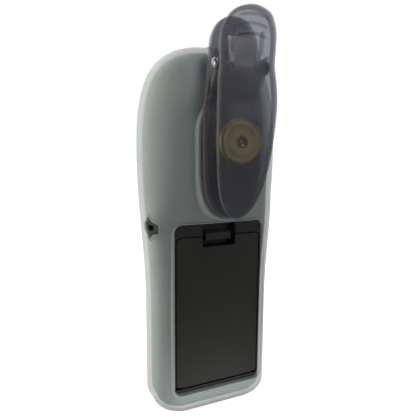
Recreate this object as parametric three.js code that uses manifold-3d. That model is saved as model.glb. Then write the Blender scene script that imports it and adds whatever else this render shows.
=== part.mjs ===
// A palm-held digital refractometer in a silicone jacket, with a spring belt clip on its back.
// Millimetres. +Z runs up the length, the display faces -Y, and the battery door and clip face +Y.
// The origin is the middle of the flat foot that it stands on.
import * as THREE from "three";
import { mergeVertices } from "three/addons/utils/BufferGeometryUtils.js";
import Module from "manifold-3d";

const wasm = await Module();
wasm.setup();

// ---- Driving dimensions ----
const LENGTH = 188.5;           // the jacket, end to end
const HANDLE_HALF = 32.3;       // half the handle's width
const HEAD_HALF = 36.3;         // half the head's width at its widest
const WAIST_Z = 58;             // where the handle starts to widen
const SHOULDER_Z = 132;         // where the head is widest
const HEAD_POWER = 3;           // roundness of the head's outline
const FRONT_Y = -15;            // the jacket's front and back faces
const BACK_Y = 18;
const FOOT_R = 9;               // rounding round the foot
const HEAD_BACK_R = 16;         // rounding over the top, at the back
const HEAD_FRONT_R = 8;         // rounding over the top, at the front
const FRONT_CORNER_R = 11;      // rounding along the sides
const BACK_CORNER_R = 12;
const SWELL = 8;                // how far the head's back stands proud of the handle's
const SWELL_LOW = [96, 126];    // heights between which the swell rises
const SWELL_HIGH = [156, 190];  // heights between which it dies away
const GAP = 0.3;                // clearance between neighbouring pieces
const FAR = 60;                 // a reach past every face, for cuts
const JACKET_WALL = 2.6;
const SHELL_WALL = 2.2;
const SHELL_INSET = JACKET_WALL + GAP;
const CAVITY_INSET = SHELL_INSET + SHELL_WALL;
const SPLIT_Y = -3;             // parting plane of the two shells
const GASKET_T = 1;

const WINDOW = { w: 50, z0: 13, z1: 101.5, r: 4, lipW: 1.8, lipY: 18.7 };
const FRONT_INSET = 7;          // margin of jacket left round the front panel
const DOOR = { w: 46.9, z0: 15.8, z1: 94.6, r: 2.5, y: 16.6, t: 2, gap: 0.4, ribX: 9, ribT: 1.2 };
const BAY = { w: 40, z0: 22, z1: 88, floorY: -1.2, wall: 1.4 };
const RECESS = { w: 18.5, z0: 89.3, z1: 101.2, floorY: 11 };
const LATCH = { half: 7.2, y0: 12.2, y1: 15.4, t: 0.9, z0: 91.6, tabZ0: 92.2, tabZ1: 96.1, z1: 96.6 };
const CELL = { r: 7.25, l: 50.5, x: 7.7, y: 6.4, z: 55 };
const STRAP = { y: 8.2, z: 99.5, w: 12, h: 11.5, pinX: 29.4, pinR: 0.8, pocketX: 24.2, wall: 2 };

const CLIP = { y: 26.7, floorT: 1.8, rimY: 30.8, wallT: 1.7, wallTop: 180 };
const LAND = { margin: 0.6, rimIn: 0.5, rimOut: 2.2, rimH: 1.6, rimTop: 162, slopeZ: 174 };
const LEVER = { skinT: 1.9, wallT: 1.5, tipDepth: 2.2, depth: 3.4, deepZ: 165, grips: [187, 190.8, 194.2] };
const PIN = { y: 36.3, z: 174.6, r: 1.6, half: 13.1, gap: 0.2 };
const TABS = { earX: 11.2, lugX: 9.3, t: 1.5, lugR: 2.8 };   // the ears and lugs that carry the pin
const RIVET = { z: 141.5, r: 10.7, shankR: 2.5, topY: 38.2, tailY: 20.9, tailR: 4, washerR: 8 };

const WELL = { z: 148, r: 19, holeR: 5.3 };
const DISPLAY = { z0: 96, z1: 120, w: 40 };
const KEYS = { x: 12.5, z: 74, r: 6.5 };
const PCB = { y0: FRONT_Y + 8.5, y1: FRONT_Y + 10.1, w: 46, z0: 20, z1: 124 };

const CURVE_STEPS = 5;          // straight lines in each quarter turn of an outline
const CORNER_STEPS = 4;         // straight lines in each of the body's rounded corners
const ROUND = 16;               // sides of a small round piece

// ---- Materials ----
const paint = (color, roughness, metalness = 0, opacity = 1) =>
  new THREE.MeshStandardMaterial({ color, roughness, metalness, opacity, transparent: opacity < 1 });
const finishes = {
  silicone: () => paint(0xb9bfb7, 0.6, 0, 0.8),
  housing: () => paint(0x2c2e2c, 0.6),
  door: () => paint(0x33342f, 0.65),
  rubber: () => paint(0x1b1c1d, 0.85),
  smoke: () => paint(0x3b3c48, 0.15, 0, 0.55),
  steel: () => paint(0xc9ccce, 0.25, 1),
  brass: () => paint(0x9a8a58, 0.35, 1),
  tin: () => paint(0xb8b9b4, 0.35, 1),
  board: () => paint(0x1f5a3c, 0.6),
  glass: () => paint(0xdfe8ea, 0.05, 0, 0.4),
  lcd: () => paint(0x8f9a84, 0.4),
  film: () => paint(0x3a4046, 0.5),
  cell: () => paint(0x3c4450, 0.35, 0.4),
  key: () => paint(0x5a6268, 0.7),
};

const refractometer = new THREE.Group();

// ---- Solids, cuts and joins ----

// A three.js geometry as a solid.
function solid(geometry) {
  const bare = geometry.index ? geometry.toNonIndexed() : geometry.clone();
  bare.deleteAttribute("normal");
  bare.deleteAttribute("uv");
  const merged = mergeVertices(bare, 1e-3);
  const triVerts = new Uint32Array(merged.index.array);
  const vertProperties = merged.attributes.position.array;
  return new wasm.Manifold(new wasm.Mesh({ numProp: 3, vertProperties, triVerts }));
}

// A solid as a three.js geometry with flat shading.
function geometryOf(made) {
  const { numProp, vertProperties, triVerts } = made.getMesh();
  const positions = new Float32Array(triVerts.length * 3);
  triVerts.forEach((v, i) => {
    for (let k = 0; k < 3; k++) positions[3 * i + k] = vertProperties[numProp * v + k];
  });
  const geometry = new THREE.BufferGeometry();
  geometry.setAttribute("position", new THREE.BufferAttribute(positions, 3));
  geometry.computeVertexNormals();
  return geometry;
}

const join = (first, ...rest) => rest.reduce((whole, piece) => whole.add(piece), first);
const cut = (first, ...rest) => rest.reduce((whole, piece) => whole.subtract(piece), first);

// Adds a named piece to a group.
function piece(name, made, finish, parent = refractometer) {
  const mesh = new THREE.Mesh(made.isBufferGeometry ? made : geometryOf(made), finishes[finish]());
  mesh.name = name;
  parent.add(mesh);
  return mesh;
}

// A block between two opposite corners.
function block(x0, x1, y0, y1, z0, z1) {
  const shape = new THREE.BoxGeometry(x1 - x0, y1 - y0, z1 - z0);
  return solid(shape.translate((x0 + x1) / 2, (y0 + y1) / 2, (z0 + z1) / 2));
}

// An outline drawn in X and Z, made solid between two depths.
function plateY(shape, y0, y1, curveSegments = CURVE_STEPS) {
  const made = new THREE.ExtrudeGeometry(shape, { depth: y1 - y0, bevelEnabled: false, curveSegments });
  return solid(made.rotateX(Math.PI / 2).translate(0, y1, 0));
}

// An outline drawn in Y and Z, made solid between two widths.
function plateX(shape, x0, x1, curveSegments = CURVE_STEPS) {
  const made = new THREE.ExtrudeGeometry(shape, { depth: x1 - x0, bevelEnabled: false, curveSegments });
  const turn = new THREE.Matrix4().makeBasis(
    new THREE.Vector3(0, 1, 0), new THREE.Vector3(0, 0, 1), new THREE.Vector3(1, 0, 0));
  return solid(made.applyMatrix4(turn).translate(x0, 0, 0));
}

// Round bars along each axis, between two places on it.
function barX(r, x0, x1, y, z, sides = ROUND) {
  const bar = new THREE.CylinderGeometry(r, r, x1 - x0, sides).rotateZ(Math.PI / 2);
  return solid(bar.translate((x0 + x1) / 2, y, z));
}
function barY(r, y0, y1, x, z, sides = ROUND) {
  return solid(new THREE.CylinderGeometry(r, r, y1 - y0, sides).translate(x, (y0 + y1) / 2, z));
}
function barZ(r, z0, z1, x, y, sides = ROUND) {
  const bar = new THREE.CylinderGeometry(r, r, z1 - z0, sides).rotateX(Math.PI / 2);
  return solid(bar.translate(x, y, (z0 + z1) / 2));
}

// A turned piece about the Y axis. Its profile is [radius, y] pairs, from axis to axis or closed.
function turned(profile, sides = ROUND) {
  return solid(new THREE.LatheGeometry(profile.map(([r, y]) => new THREE.Vector2(r, y)), sides));
}

function polygon(points) {
  return new THREE.Shape(points.map(([a, b]) => new THREE.Vector2(a, b)));
}

function roundedRect(a0, a1, b0, b1, r) {
  const shape = new THREE.Shape();
  shape.moveTo(a0 + r, b0);
  shape.lineTo(a1 - r, b0).absarc(a1 - r, b0 + r, r, -Math.PI / 2, 0);
  shape.lineTo(a1, b1 - r).absarc(a1 - r, b1 - r, r, 0, Math.PI / 2);
  shape.lineTo(a0 + r, b1).absarc(a0 + r, b1 - r, r, Math.PI / 2, Math.PI);
  shape.lineTo(a0, b0 + r).absarc(a0 + r, b0 + r, r, Math.PI, 1.5 * Math.PI);
  return shape;
}

// ---- The body's form, which the jacket and both shells share ----

const clamp = (v) => Math.min(Math.max(v, 0), 1);
const ease = (t) => t * t * (3 - 2 * t);
const rise = (z, [low, high]) => ease(clamp((z - low) / (high - low)));

// How far an edge of radius r has fallen back at a height above the edge's end.
function fallBack(height, r) {
  const d = r - Math.max(height, 0);
  return d > 0 ? r - Math.sqrt(r * r - d * d) : 0;
}

// Half-width of the outline at height z, for a surface set in by an inset.
function halfWidth(z, inset) {
  if (z >= SHOULDER_Z) {
    const t = clamp((z - SHOULDER_Z) / (LENGTH - inset - SHOULDER_Z));
    return (HEAD_HALF - inset) * Math.pow(1 - Math.pow(t, HEAD_POWER), 1 / HEAD_POWER);
  }
  const widening = (HEAD_HALF - HANDLE_HALF) * rise(z, [WAIST_Z, SHOULDER_Z]);
  return HANDLE_HALF + widening - inset - fallBack(z - inset, FOOT_R + 1 - inset);
}

const swell = (z) => SWELL * rise(z, SWELL_LOW) * (1 - rise(z, SWELL_HIGH));

// One level of the body: a closed ring of points, counter-clockwise from above.
function bodyRing(z, inset) {
  const w = halfWidth(z, inset);
  const foot = fallBack(z - inset, FOOT_R - inset);
  const y0 = FRONT_Y + inset + foot + fallBack(LENGTH - inset - z, HEAD_FRONT_R - inset);
  const y1 = BACK_Y - inset - foot - fallBack(LENGTH - inset - z, HEAD_BACK_R - inset);
  const fr = Math.min(FRONT_CORNER_R - inset, w, (y1 - y0) / 2.2);
  const br = Math.min(BACK_CORNER_R + swell(z) / 2 - inset, w, (y1 - y0) / 2.2);
  const corners = [[w - fr, y0 + fr, fr, -90], [w - br, y1 - br, br, 0],
    [br - w, y1 - br, br, 90], [fr - w, y0 + fr, fr, 180]];
  const ring = [];
  corners.forEach(([cx, cy, r, from], corner) => {
    for (let i = 0; i <= CORNER_STEPS; i++) {
      const a = THREE.MathUtils.degToRad(from + 90 * i / CORNER_STEPS);
      ring.push([cx + r * Math.cos(a), cy + r * Math.sin(a)]);
    }
    if (corner === 1) for (let i = 1; i < 4; i++) ring.push([(w - br) * (1 - i / 2), y1]);
  });
  const middle = (y0 + y1) / 2;
  return ring.map(([x, y]) => {
    const back = clamp((y - middle) / (y1 - middle));
    const across = w > 0.1 ? x / w : 0;
    return [x, y + swell(z) * ease(back) * (1 - across * across), z];
  });
}

// Heights to draw the body at: close together round the foot and the head, and as listed between them.
function heights(inset, footSpan, between, headSteps) {
  const levels = [];
  for (let i = 0; i <= 3; i++) levels.push(inset + footSpan * (1 - Math.cos(i * Math.PI / 6)));
  levels.push(...between);
  for (let i = 0; i <= headSteps; i++) {
    levels.push(SHOULDER_Z + (LENGTH - inset - SHOULDER_Z) * Math.sin(1.53 * i / headSteps));
  }
  return levels;
}

// The body as a closed solid, every surface set in by an inset.
function body(inset) {
  const levels = heights(inset, FOOT_R + 1 - inset, [34, 65, 96, 104, 111, 118, 125], 8);
  return solid(loft(levels.map((z) => bodyRing(z, inset))));
}

// A closed skin over rings of equal length, with a fan of triangles at each end.
function loft(rings) {
  const n = rings[0].length;
  const positions = rings.flat(2);
  const index = [];
  for (let k = 0; k + 1 < rings.length; k++) {
    for (let i = 0; i < n; i++) {
      const [a, b] = [k * n + i, k * n + (i + 1) % n];
      index.push(a, b, b + n, a, b + n, a + n);
    }
  }
  [rings[0], rings[rings.length - 1]].forEach((ring, end) => {
    const centre = positions.length / 3;
    const start = end ? (rings.length - 1) * n : 0;
    for (let k = 0; k < 3; k++) positions.push(ring.reduce((sum, p) => sum + p[k], 0) / n);
    for (let i = 0; i < n; i++) {
      const [a, b] = [start + i, start + (i + 1) % n];
      index.push(...(end ? [a, b, centre] : [b, a, centre]));
    }
  });
  const skin = new THREE.BufferGeometry();
  skin.setAttribute("position", new THREE.Float32BufferAttribute(positions, 3));
  skin.setIndex(index);
  return skin;
}

// The body's outline seen from the front, set in by an inset.
function bodyOutline(inset) {
  const side = heights(inset, Math.max(FOOT_R + 1 - inset, 3), [34, 65, 96, 115], 7);
  const right = side.map((z) => [halfWidth(z, inset), z]);
  const left = right.map(([x, z]) => [-x, z]).reverse();
  return polygon([...right, ...left]);
}

// ---- Jacket ----

// The strap cut-out's cross, with pointed arms up and down.
function strapCross() {
  const [w, h] = [STRAP.w / 2, STRAP.h / 2];
  const [notch, end] = [2.6, 1.6];
  const half = [[w, -end], [w, end], [notch, notch], [0, h], [-notch, notch]];
  const other = half.map(([a, b]) => [-a, -b]);
  return polygon([...half, ...other].map(([a, b]) => [a + STRAP.y, b + STRAP.z]));
}

function windowOutline(grow) {
  const { w, z0, z1, r } = WINDOW;
  return roundedRect(-w / 2 - grow, w / 2 + grow, z0 - grow, z1 + grow, r + grow);
}

// The raised seat under the clip, which slopes away at the top, with a rim that hugs the clip's lower part.
function clipSeat() {
  const top = CLIP.y - GAP;
  const { margin, rimIn, rimOut, rimH, rimTop, slopeZ } = LAND;
  const slope = plateX(polygon([[top + FAR, slopeZ], [top, slopeZ], [BACK_Y - 3, LENGTH - 3],
    [BACK_Y - 3, LENGTH + FAR], [top + FAR, LENGTH + FAR]]), -FAR, FAR);
  const land = cut(plateY(clipOutline(margin), BACK_Y, top), slope);
  const above = block(-FAR, FAR, 0, FAR, rimTop, LENGTH + FAR);
  const band = cut(plateY(clipOutline(rimOut), BACK_Y, CLIP.y + rimH), plateY(clipOutline(rimIn), 0, FAR));
  return join(land, cut(band, above));
}

function makeJacket() {
  const lip = plateY(windowOutline(WINDOW.lipW), BACK_Y / 2, WINDOW.lipY);
  return cut(join(body(0), clipSeat(), lip),
    body(JACKET_WALL),
    plateY(bodyOutline(FRONT_INSET), FRONT_Y - FAR, FRONT_Y / 2),
    plateY(windowOutline(0), BACK_Y / 2, FAR),
    plateX(strapCross(), HANDLE_HALF / 2, FAR),
    barY(RIVET.shankR + GAP, BACK_Y / 2, FAR, 0, RIVET.z));
}

// ---- Housing ----

const screws = [
  { x: -20, z: 8.6, seat: 10.5 }, { x: 20, z: 8.6, seat: 10.5 },
  { x: -21, z: 161, seat: 13 }, { x: 21, z: 161, seat: 13 },
];
const RIVET_POCKET = { r: 9.6, y: 20.6 };   // leaves room for the rivet's tail and washer
const SCREW = { shankR: 1.25, headR: 2.5, headT: 1.6, tipY: FRONT_Y + 7.6, bossR: 3.4 };

function makeFrontHousing() {
  const edgeY = SPLIT_Y - GASKET_T / 2 - GAP;
  const half = block(-FAR, FAR, FRONT_Y - 9, edgeY, -5, LENGTH);
  const shell = cut(body(SHELL_INSET), body(CAVITY_INSET)).intersect(half);
  const panel = plateY(bodyOutline(FRONT_INSET + 0.4), FRONT_Y + 0.9, FRONT_Y + CAVITY_INSET);
  const bosses = screws.map(({ x, z }) => barY(SCREW.bossR, FRONT_Y + 4.5, edgeY, x, z, 16));
  const holes = screws.map(({ x, z }) => barY(SCREW.shankR + GAP, SCREW.tipY - GAP, 0, x, z, 12));
  const through = [FRONT_Y - 9, FRONT_Y + 8];
  const keyHoles = [-1, 1].map((side) => barY(KEYS.r + GAP, ...through, side * KEYS.x, KEYS.z));
  return cut(join(shell, panel, ...bosses), ...holes, ...keyHoles,
    barY(WELL.r + GAP, ...through, 0, WELL.z, 36),
    block(-DISPLAY.w / 2, DISPLAY.w / 2, ...through, DISPLAY.z0, DISPLAY.z1));
}

function makeGasket() {
  const [y0, y1] = [SPLIT_Y - GASKET_T / 2, SPLIT_Y + GASKET_T / 2];
  const band = block(-FAR, FAR, y0, y1, -5, LENGTH);
  return cut(body(SHELL_INSET + 0.3), body(CAVITY_INSET - 0.4)).intersect(band);
}

function bayBlock(grow, y0, y1) {
  const half = BAY.w / 2 + grow;
  return block(-half, half, y0, y1, BAY.z0 - grow, BAY.z1 + grow);
}

function makeRearHousing() {
  const half = block(-FAR, FAR, SPLIT_Y + GASKET_T / 2 + GAP, FAR, -5, LENGTH);
  const solidBody = body(SHELL_INSET);
  const island = plateY(windowOutline(-DOOR.gap), 12, DOOR.y);
  const shell = cut(solidBody, body(CAVITY_INSET));
  const bayWalls = bayBlock(BAY.wall, BAY.floorY - BAY.wall, 14);
  const ledgeHalf = DOOR.w / 2 + 1;
  const ledge = block(-ledgeHalf, ledgeHalf, RECESS.floorY - 0.5, DOOR.y - 1.6,
    DOOR.z0 - 1, RECESS.z1 + BAY.wall);
  const bosses = screws.map(({ x, z }) => barY(SCREW.bossR, SPLIT_Y, FAR, x, z));
  const rivetSeat = barY(RIVET_POCKET.r + 2, RIVET_POCKET.y - 2.4, RIVET_POCKET.y + 1, 0, RIVET.z);
  const strapBlock = strapPocket(STRAP.wall, STRAP.pocketX - STRAP.wall, HANDLE_HALF);
  const inner = join(shell, bayWalls, ledge, rivetSeat, strapBlock, ...bosses);
  const walls = join(inner.intersect(join(solidBody, island)), island);
  return cut(walls.intersect(half),
    plateY(doorOutline(DOOR.gap), DOOR.y - DOOR.t - 0.9, FAR),
    ...[-1, 1].map((side) => tailSlot(side * CELL.x)),
    ...screws.map(screwHole),
    bayBlock(0, BAY.floorY, FAR),
    block(-RECESS.w / 2, RECESS.w / 2, RECESS.floorY, FAR, RECESS.z0, RECESS.z1),
    barY(RIVET_POCKET.r, RIVET_POCKET.y, FAR, 0, RIVET.z),
    strapPocket(0, STRAP.pocketX, FAR),
    barZ(STRAP.pinR + GAP, STRAP.z - 6.2, STRAP.z + 6.2, STRAP.pinX, STRAP.y, 12));
}

// Slot in the bay's end wall for a contact's tail.
function tailSlot(x) {
  return block(x - 1.8, x + 1.8, -5, 0, BAY.z1 - 1.6, BAY.z1);
}

function screwHole({ x, z, seat }) {
  return join(barY(SCREW.shankR + GAP, -10, seat + 1, x, z, 12), barY(SCREW.headR + GAP, seat, FAR, x, z));
}

// The pocket behind the strap cut-out, grown by a wall.
function strapPocket(grow, x0, x1) {
  const [halfY, halfZ] = [5.2 + grow, 4.6 + grow];
  return block(x0, x1, STRAP.y - halfY, STRAP.y + halfY, STRAP.z - halfZ, STRAP.z + halfZ);
}

function makeScrew({ x, z, seat }) {
  const head = seat + SCREW.headT;
  const { shankR, headR, tipY } = SCREW;
  const profile = [[0, tipY], [shankR * 0.5, tipY], [shankR, tipY + 1.5], [shankR, seat + GAP],
    [headR, seat + GAP], [headR, head], [headR - 0.7, head + 0.5], [0, head + 0.5]];
  const cross = [0, Math.PI / 2].map((turn) =>
    solid(new THREE.BoxGeometry(2.8, 1.6, 0.6).rotateY(turn).translate(0, head + 0.5, 0)));
  return cut(turned(profile, 12), ...cross).translate([x, 0, z]);
}

// ---- Battery bay ----

// The door is notched at the top for the latch recess.
function doorOutline(grow) {
  const { w, z0, z1, r } = DOOR;
  return roundedRect(-w / 2 - grow, w / 2 + grow, z0 - grow, z1 + grow, r - grow);
}

function makeDoor() {
  const { w, y, t, z0, r, ribX, ribT } = DOOR;
  const notch = block(-RECESS.w / 2, RECESS.w / 2, 0, FAR, RECESS.z0, LENGTH);
  const leaf = cut(plateY(doorOutline(0), y - t, y), block(-w, w, 0, FAR, 0, z0 + t / 2), notch);
  const hingeEdge = barX(t / 2, r - w / 2, w / 2 - r, y - t / 2, z0 + t / 2);
  const ribs = [-ribX, ribX].map((x) =>
    block(x - ribT / 2, x + ribT / 2, y - t - 0.6, y - t + 0.5, BAY.z0 + 6, BAY.z1 - 6));
  return join(leaf, hingeEdge, ...ribs);
}

function makeDoorGasket() {
  const [y0, y1] = [DOOR.y - DOOR.t - 0.8, DOOR.y - DOOR.t - 0.1];
  const [half, low, high, band] = [22.8, 20, 87.8, 1.6];
  const outer = plateY(roundedRect(-half, half, low, high, 2), y0, y1, 4);
  return cut(outer, plateY(roundedRect(band - half, half - band, low + band, high - band, 1), 0, FAR, 4));
}

// A finger tab in front of an upright web.
function makeLatch() {
  const { half, y0, y1, t, z0, tabZ0, tabZ1, z1 } = LATCH;
  const profile = polygon([[y0, z1], [y0, z0], [y0 + t, z0], [y0 + t, tabZ0], [y1, tabZ0], [y1, tabZ1],
    [y1 - t, tabZ1], [y0 + t, tabZ1 - t], [y0 + t, z1]]);
  return plateX(profile, -half, half);
}

function makeCell() {
  const [r, half] = [CELL.r, CELL.l / 2];
  const profile = [[0, -half], [r - 0.6, -half], [r, -half + 0.6], [r, half - 2], [r - 0.6, half - 1.4],
    [2.7, half - 1.4], [2.7, half], [0, half]];
  return turned(profile, 20).rotate([90, 0, 0]);
}

function makeSpring() {
  const [radius, height, turns] = [3, 4, 2.5];
  const steps = 8 * turns;
  const points = [];
  for (let i = 0; i <= steps; i++) {
    const a = 2 * Math.PI * turns * i / steps;
    points.push(new THREE.Vector3(radius * Math.cos(a), radius * Math.sin(a), height * i / steps));
  }
  const wire = new THREE.Shape().absarc(0, 0, 0.35, 0, 2 * Math.PI);
  const path = new THREE.CatmullRomCurve3(points);
  const options = { steps, curveSegments: 3, bevelEnabled: false, extrudePath: path };
  return solid(new THREE.ExtrudeGeometry(wire, options));
}

function makePower() {
  const power = new THREE.Group();
  power.position.set(0, CELL.y, 0);
  refractometer.add(power);
  [-1, 1].forEach((side, i) => {
    const flip = side < 0 ? 180 : 0;
    const cell = makeCell().rotate([flip, 0, 0]);
    piece(`battery_${i + 1}`, cell, "cell", power).position.set(side * CELL.x, 0, CELL.z);
    const springZ = side < 0 ? CELL.z + CELL.l / 2 + 0.7 : CELL.z - CELL.l / 2 - 5.1;
    piece(`battery_spring_${i + 1}`, makeSpring(), "tin", power).position.set(side * CELL.x, 0, springZ);
  });
  const bridge = join(block(-13.5, 13.5, -5, 5, BAY.z0 + GAP, BAY.z0 + 0.9),
    block(-10, -5, -2.5, 2.5, BAY.z0 + 0.8, CELL.z - CELL.l / 2 - 0.8));
  piece("contact_bridge", bridge, "tin", power);
  const top = BAY.z1 - GAP;
  const button = block(5.2, 10.2, -2.5, 2.5, CELL.z + CELL.l / 2 + 0.5, top - 0.4);
  const tail = (x) => block(x - 1.4, x + 1.4, PCB.y1 + GAP - CELL.y, -4.9, top - 0.6, top);
  piece("contact_positive", join(block(2.5, 13, -5, 5, top - 0.6, top), button, tail(CELL.x)), "tin", power);
  piece("contact_negative", join(block(-13, -2.5, -5, 5, top - 0.6, top), tail(-CELL.x)), "tin", power);
}

// ---- Display, keys and main board ----

function makeKey() {
  const { r } = KEYS;
  const profile = [[0, -1.2], [r - 2.4, -1.2], [r - 0.8, -0.8], [r, 0], [r, 5.6], [r + 1, 5.6], [r + 1, 6.4],
    [0, 6.4]];
  return turned(profile);
}

function makeOverlay() {
  const sheet = plateY(bodyOutline(FRONT_INSET + 1.4), FRONT_Y + 0.2, FRONT_Y + 0.6);
  const through = [FRONT_Y - 9, FRONT_Y + 8];
  const keyHoles = [-1, 1].map((side) => barY(KEYS.r + 0.6, ...through, side * KEYS.x, KEYS.z));
  return cut(sheet, ...keyHoles, barY(WELL.r + 0.6, ...through, 0, WELL.z, 36),
    block(1 - DISPLAY.w / 2, DISPLAY.w / 2 - 1, ...through, DISPLAY.z0 + 1, DISPLAY.z1 - 1),
    block(-14, 14, ...through, WELL.z + 18, 200));
}

function makeFrontPanel() {
  const { w, z0, z1 } = DISPLAY;
  const paneShape = roundedRect(GAP - w / 2, w / 2 - GAP, z0 + GAP, z1 - GAP, 0.8);
  piece("display_window", plateY(paneShape, FRONT_Y + 0.9, FRONT_Y + 2.1, 3), "glass");
  const screen = block(0.8 - w / 2, w / 2 - 0.8, FRONT_Y + 2.6, PCB.y0 - GAP, z0 + 0.8, z1 - 0.8);
  piece("lcd_module", screen, "lcd");
  piece("front_overlay", makeOverlay(), "film");
  [["left", -1], ["right", 1]].forEach(([name, side]) => {
    const x = side * KEYS.x;
    piece(`key_${name}`, makeKey(), "key").position.set(x, FRONT_Y, KEYS.z);
    const dome = turned([[0, 7.5], [1.6, 7.6], [3, 8.2], [0, 8.2]], 16);
    piece(`switch_${name}`, dome, "tin").position.set(x, FRONT_Y, KEYS.z);
  });
  const board = cut(plateY(roundedRect(-PCB.w / 2, PCB.w / 2, PCB.z0, PCB.z1, 2), PCB.y0, PCB.y1, 3),
    block(-4, 4, PCB.y0 - 1, PCB.y1 + 1, PCB.z1 - 3, PCB.z1 + 1));
  piece("main_pcb", board, "board");
}

// ---- Sample well and optics, about the well's centre with Y = 0 at the jacket's front ----
const BORE = { r: 3.3, tilt: Math.PI / 3.2, y: 16.5, z: 14 };

function makeDish() {
  const { r, holeR } = WELL;
  const profile = [[holeR, 3.6], [8, 3.3], [12, 2.5], [15.6, 1], [r - 1.4, -0.4], [r - 0.6, -0.6], [r, -0.2],
    [r, 5.4], [r - 1, 5.4], [r - 1, 1], [15.3, 2.1], [12, 3.5], [8, 4.3], [holeR, 4.6], [holeR, 3.6]];
  return turned(profile, 32);
}

function makePrism() {
  const face = barY(WELL.holeR - GAP, 3.3, 5.4, 0, 0, 32);
  return join(face, plateX(polygon([[5.2, -8], [5.2, 8], [12.5, 3.5], [12.5, -3.5]]), -4.4, 4.4));
}

// Light goes up one slanted bore to the prism, and down the other to the detector.
function makeOpticalBlock() {
  const half = 15.5;
  const frame = plateY(roundedRect(-half, half, -half, half, 4), 6.4, 23, 4);
  const pocket = plateX(polygon([[4, -9.3], [4, 9.3], [13, 3.75], [13, -3.75]]), -4.8, 4.8);
  const bore = (side) => {
    const tube = new THREE.CylinderGeometry(BORE.r, BORE.r, 26, 20).rotateX(side * BORE.tilt);
    return solid(tube.translate(0, BORE.y, side * BORE.z));
  };
  return cut(frame, pocket, bore(-1), bore(1), block(-9, 9, 18.6, 30, -9, 9));
}

// Turns a piece to lie across a slanted bore, at a distance along it.
function inBore(mesh, side, along) {
  const tilt = side * BORE.tilt;
  mesh.rotation.x = tilt;
  mesh.position.set(0, BORE.y + along * Math.cos(tilt), side * BORE.z + along * Math.sin(tilt));
}

function makeOptics(optics) {
  piece("sample_well", makeDish(), "steel", optics);
  const ring = new THREE.TorusGeometry(WELL.r - 4, 0.4, 6, 24).rotateX(Math.PI / 2).translate(0, 5.7, 0);
  piece("well_seal", ring, "rubber", optics);
  piece("prism", makePrism(), "glass", optics);
  piece("optical_block", makeOpticalBlock(), "rubber", optics);
  const lens = turned([[0, -1.3], [1.6, -1], [2.9, -0.3], [2.9, 0.3], [0, 0.3]], 20);
  inBore(piece("lens", lens, "glass", optics), -1, -3.4);
  const bulb = turned([[0, -2.2], [1.4, -1.6], [1.8, -0.6], [1.8, 1], [2.3, 1], [2.3, 1.8], [0, 1.8]], 16);
  inBore(piece("led", bulb, "glass", optics), -1, 2.2);
  const mirror = solid(new THREE.CylinderGeometry(2.9, 2.9, 0.8, 20));
  inBore(piece("mirror", mirror, "steel", optics), 1, -3.4);
  piece("led_board", block(-8, 8, 23.4, 24.6, -16, -7), "board", optics);
  piece("detector_board", block(-8, 8, 23.4, 24.6, 7, 16), "board", optics);
  piece("thermistor", barY(0.9, 7, 9.4, 0, 0, 12), "rubber", optics).position.set(-16.95, 0, -8);
}

// A folded strip from the main board up to the detector board.
function makeRibbon() {
  const [t, low, high] = [0.3, PCB.z1 - 2.6, WELL.z + 11];
  const [boardY, backY, step] = [PCB.y0 + 0.5, FRONT_Y + 25.6, PCB.z1 + 4];
  const strip = polygon([[boardY, low], [boardY + t, low], [boardY + t, step], [backY + t, step + 1],
    [backY + t, high], [backY, high], [backY, step + 1 + t], [boardY, step + t]]);
  return plateX(strip, -3, 3);
}

// ---- Hinged cover over the sample well, in the well's own frame ----
const COVER = { y: -2.4, z: 22.6, r: 20.2, pinR: 0.75, pinHalf: 8 };

function makeCover() {
  const { r } = COVER;
  const dome = turned([[0, -4.6], [12, -4.3], [17.4, -3.6], [r, -2.2], [r, -0.9], [0, -0.9]], 32);
  const hollow = turned([[0, -3.2], [12, -2.9], [16.4, -2.2], [17.4, -1.4], [17.4, 0], [0, 0]], 32);
  const lip = block(-5, 5, -3, -0.9, -r - 2, 1.5 - r);
  const knuckle = join(block(-5.6, 5.6, -3.9, -1.1, r - 2, COVER.z), barX(1.5, -5.6, 5.6, COVER.y, COVER.z));
  return cut(join(cut(dome, hollow), lip, knuckle), barX(COVER.pinR + 0.2, -9, 9, COVER.y, COVER.z, 12));
}

// The lugs on the front housing that carry the cover's pin.
function coverLugs() {
  const ears = [[-9, -6], [6, 9]].map(([x0, x1]) => join(
    block(x0, x1, COVER.y, 2, COVER.z - 2, COVER.z + 2), barX(2, x0, x1, COVER.y, COVER.z, 16)));
  const lugs = cut(join(...ears), barX(COVER.pinR + 0.2, -8.2, 8.2, COVER.y, COVER.z, 12));
  return lugs.translate([0, FRONT_Y, WELL.z]);
}

function makeWell() {
  const well = new THREE.Group();
  well.position.set(0, FRONT_Y, WELL.z);
  refractometer.add(well);
  makeOptics(well);
  piece("well_cover", makeCover(), "housing", well);
  const pin = barX(COVER.pinR, -COVER.pinHalf, COVER.pinHalf, COVER.y, COVER.z, 12);
  piece("cover_hinge_pin", pin, "steel", well);
}

// ---- Belt clip ----

// Half-widths of the clip's outline, from its lower tip to its upper tab.
const CLIP_BASE_SIDE = [[0, 105.6], [6.4, 107.2], [10.8, 111], [13.5, 117], [14.7, 126], [15, 141],
  [14.8, 154], [13.8, 164], [12.7, 172], [12.1, 182], [11.2, 188], [8.6, 193], [5, 196], [0, 197]];
const CLIP_LEVER_SIDE = [[0, 105.6], [5.4, 108.4], [8.6, 113], [10.9, 119], [12.6, 128], [13.6, 137],
  [14.2, 147], [14.4, 158], [14, 167], [13.2, 174], [13.4, 181], [13.1, 187], [11.2, 191.8], [7.6, 195.6],
  [0, 197.8]];

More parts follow.
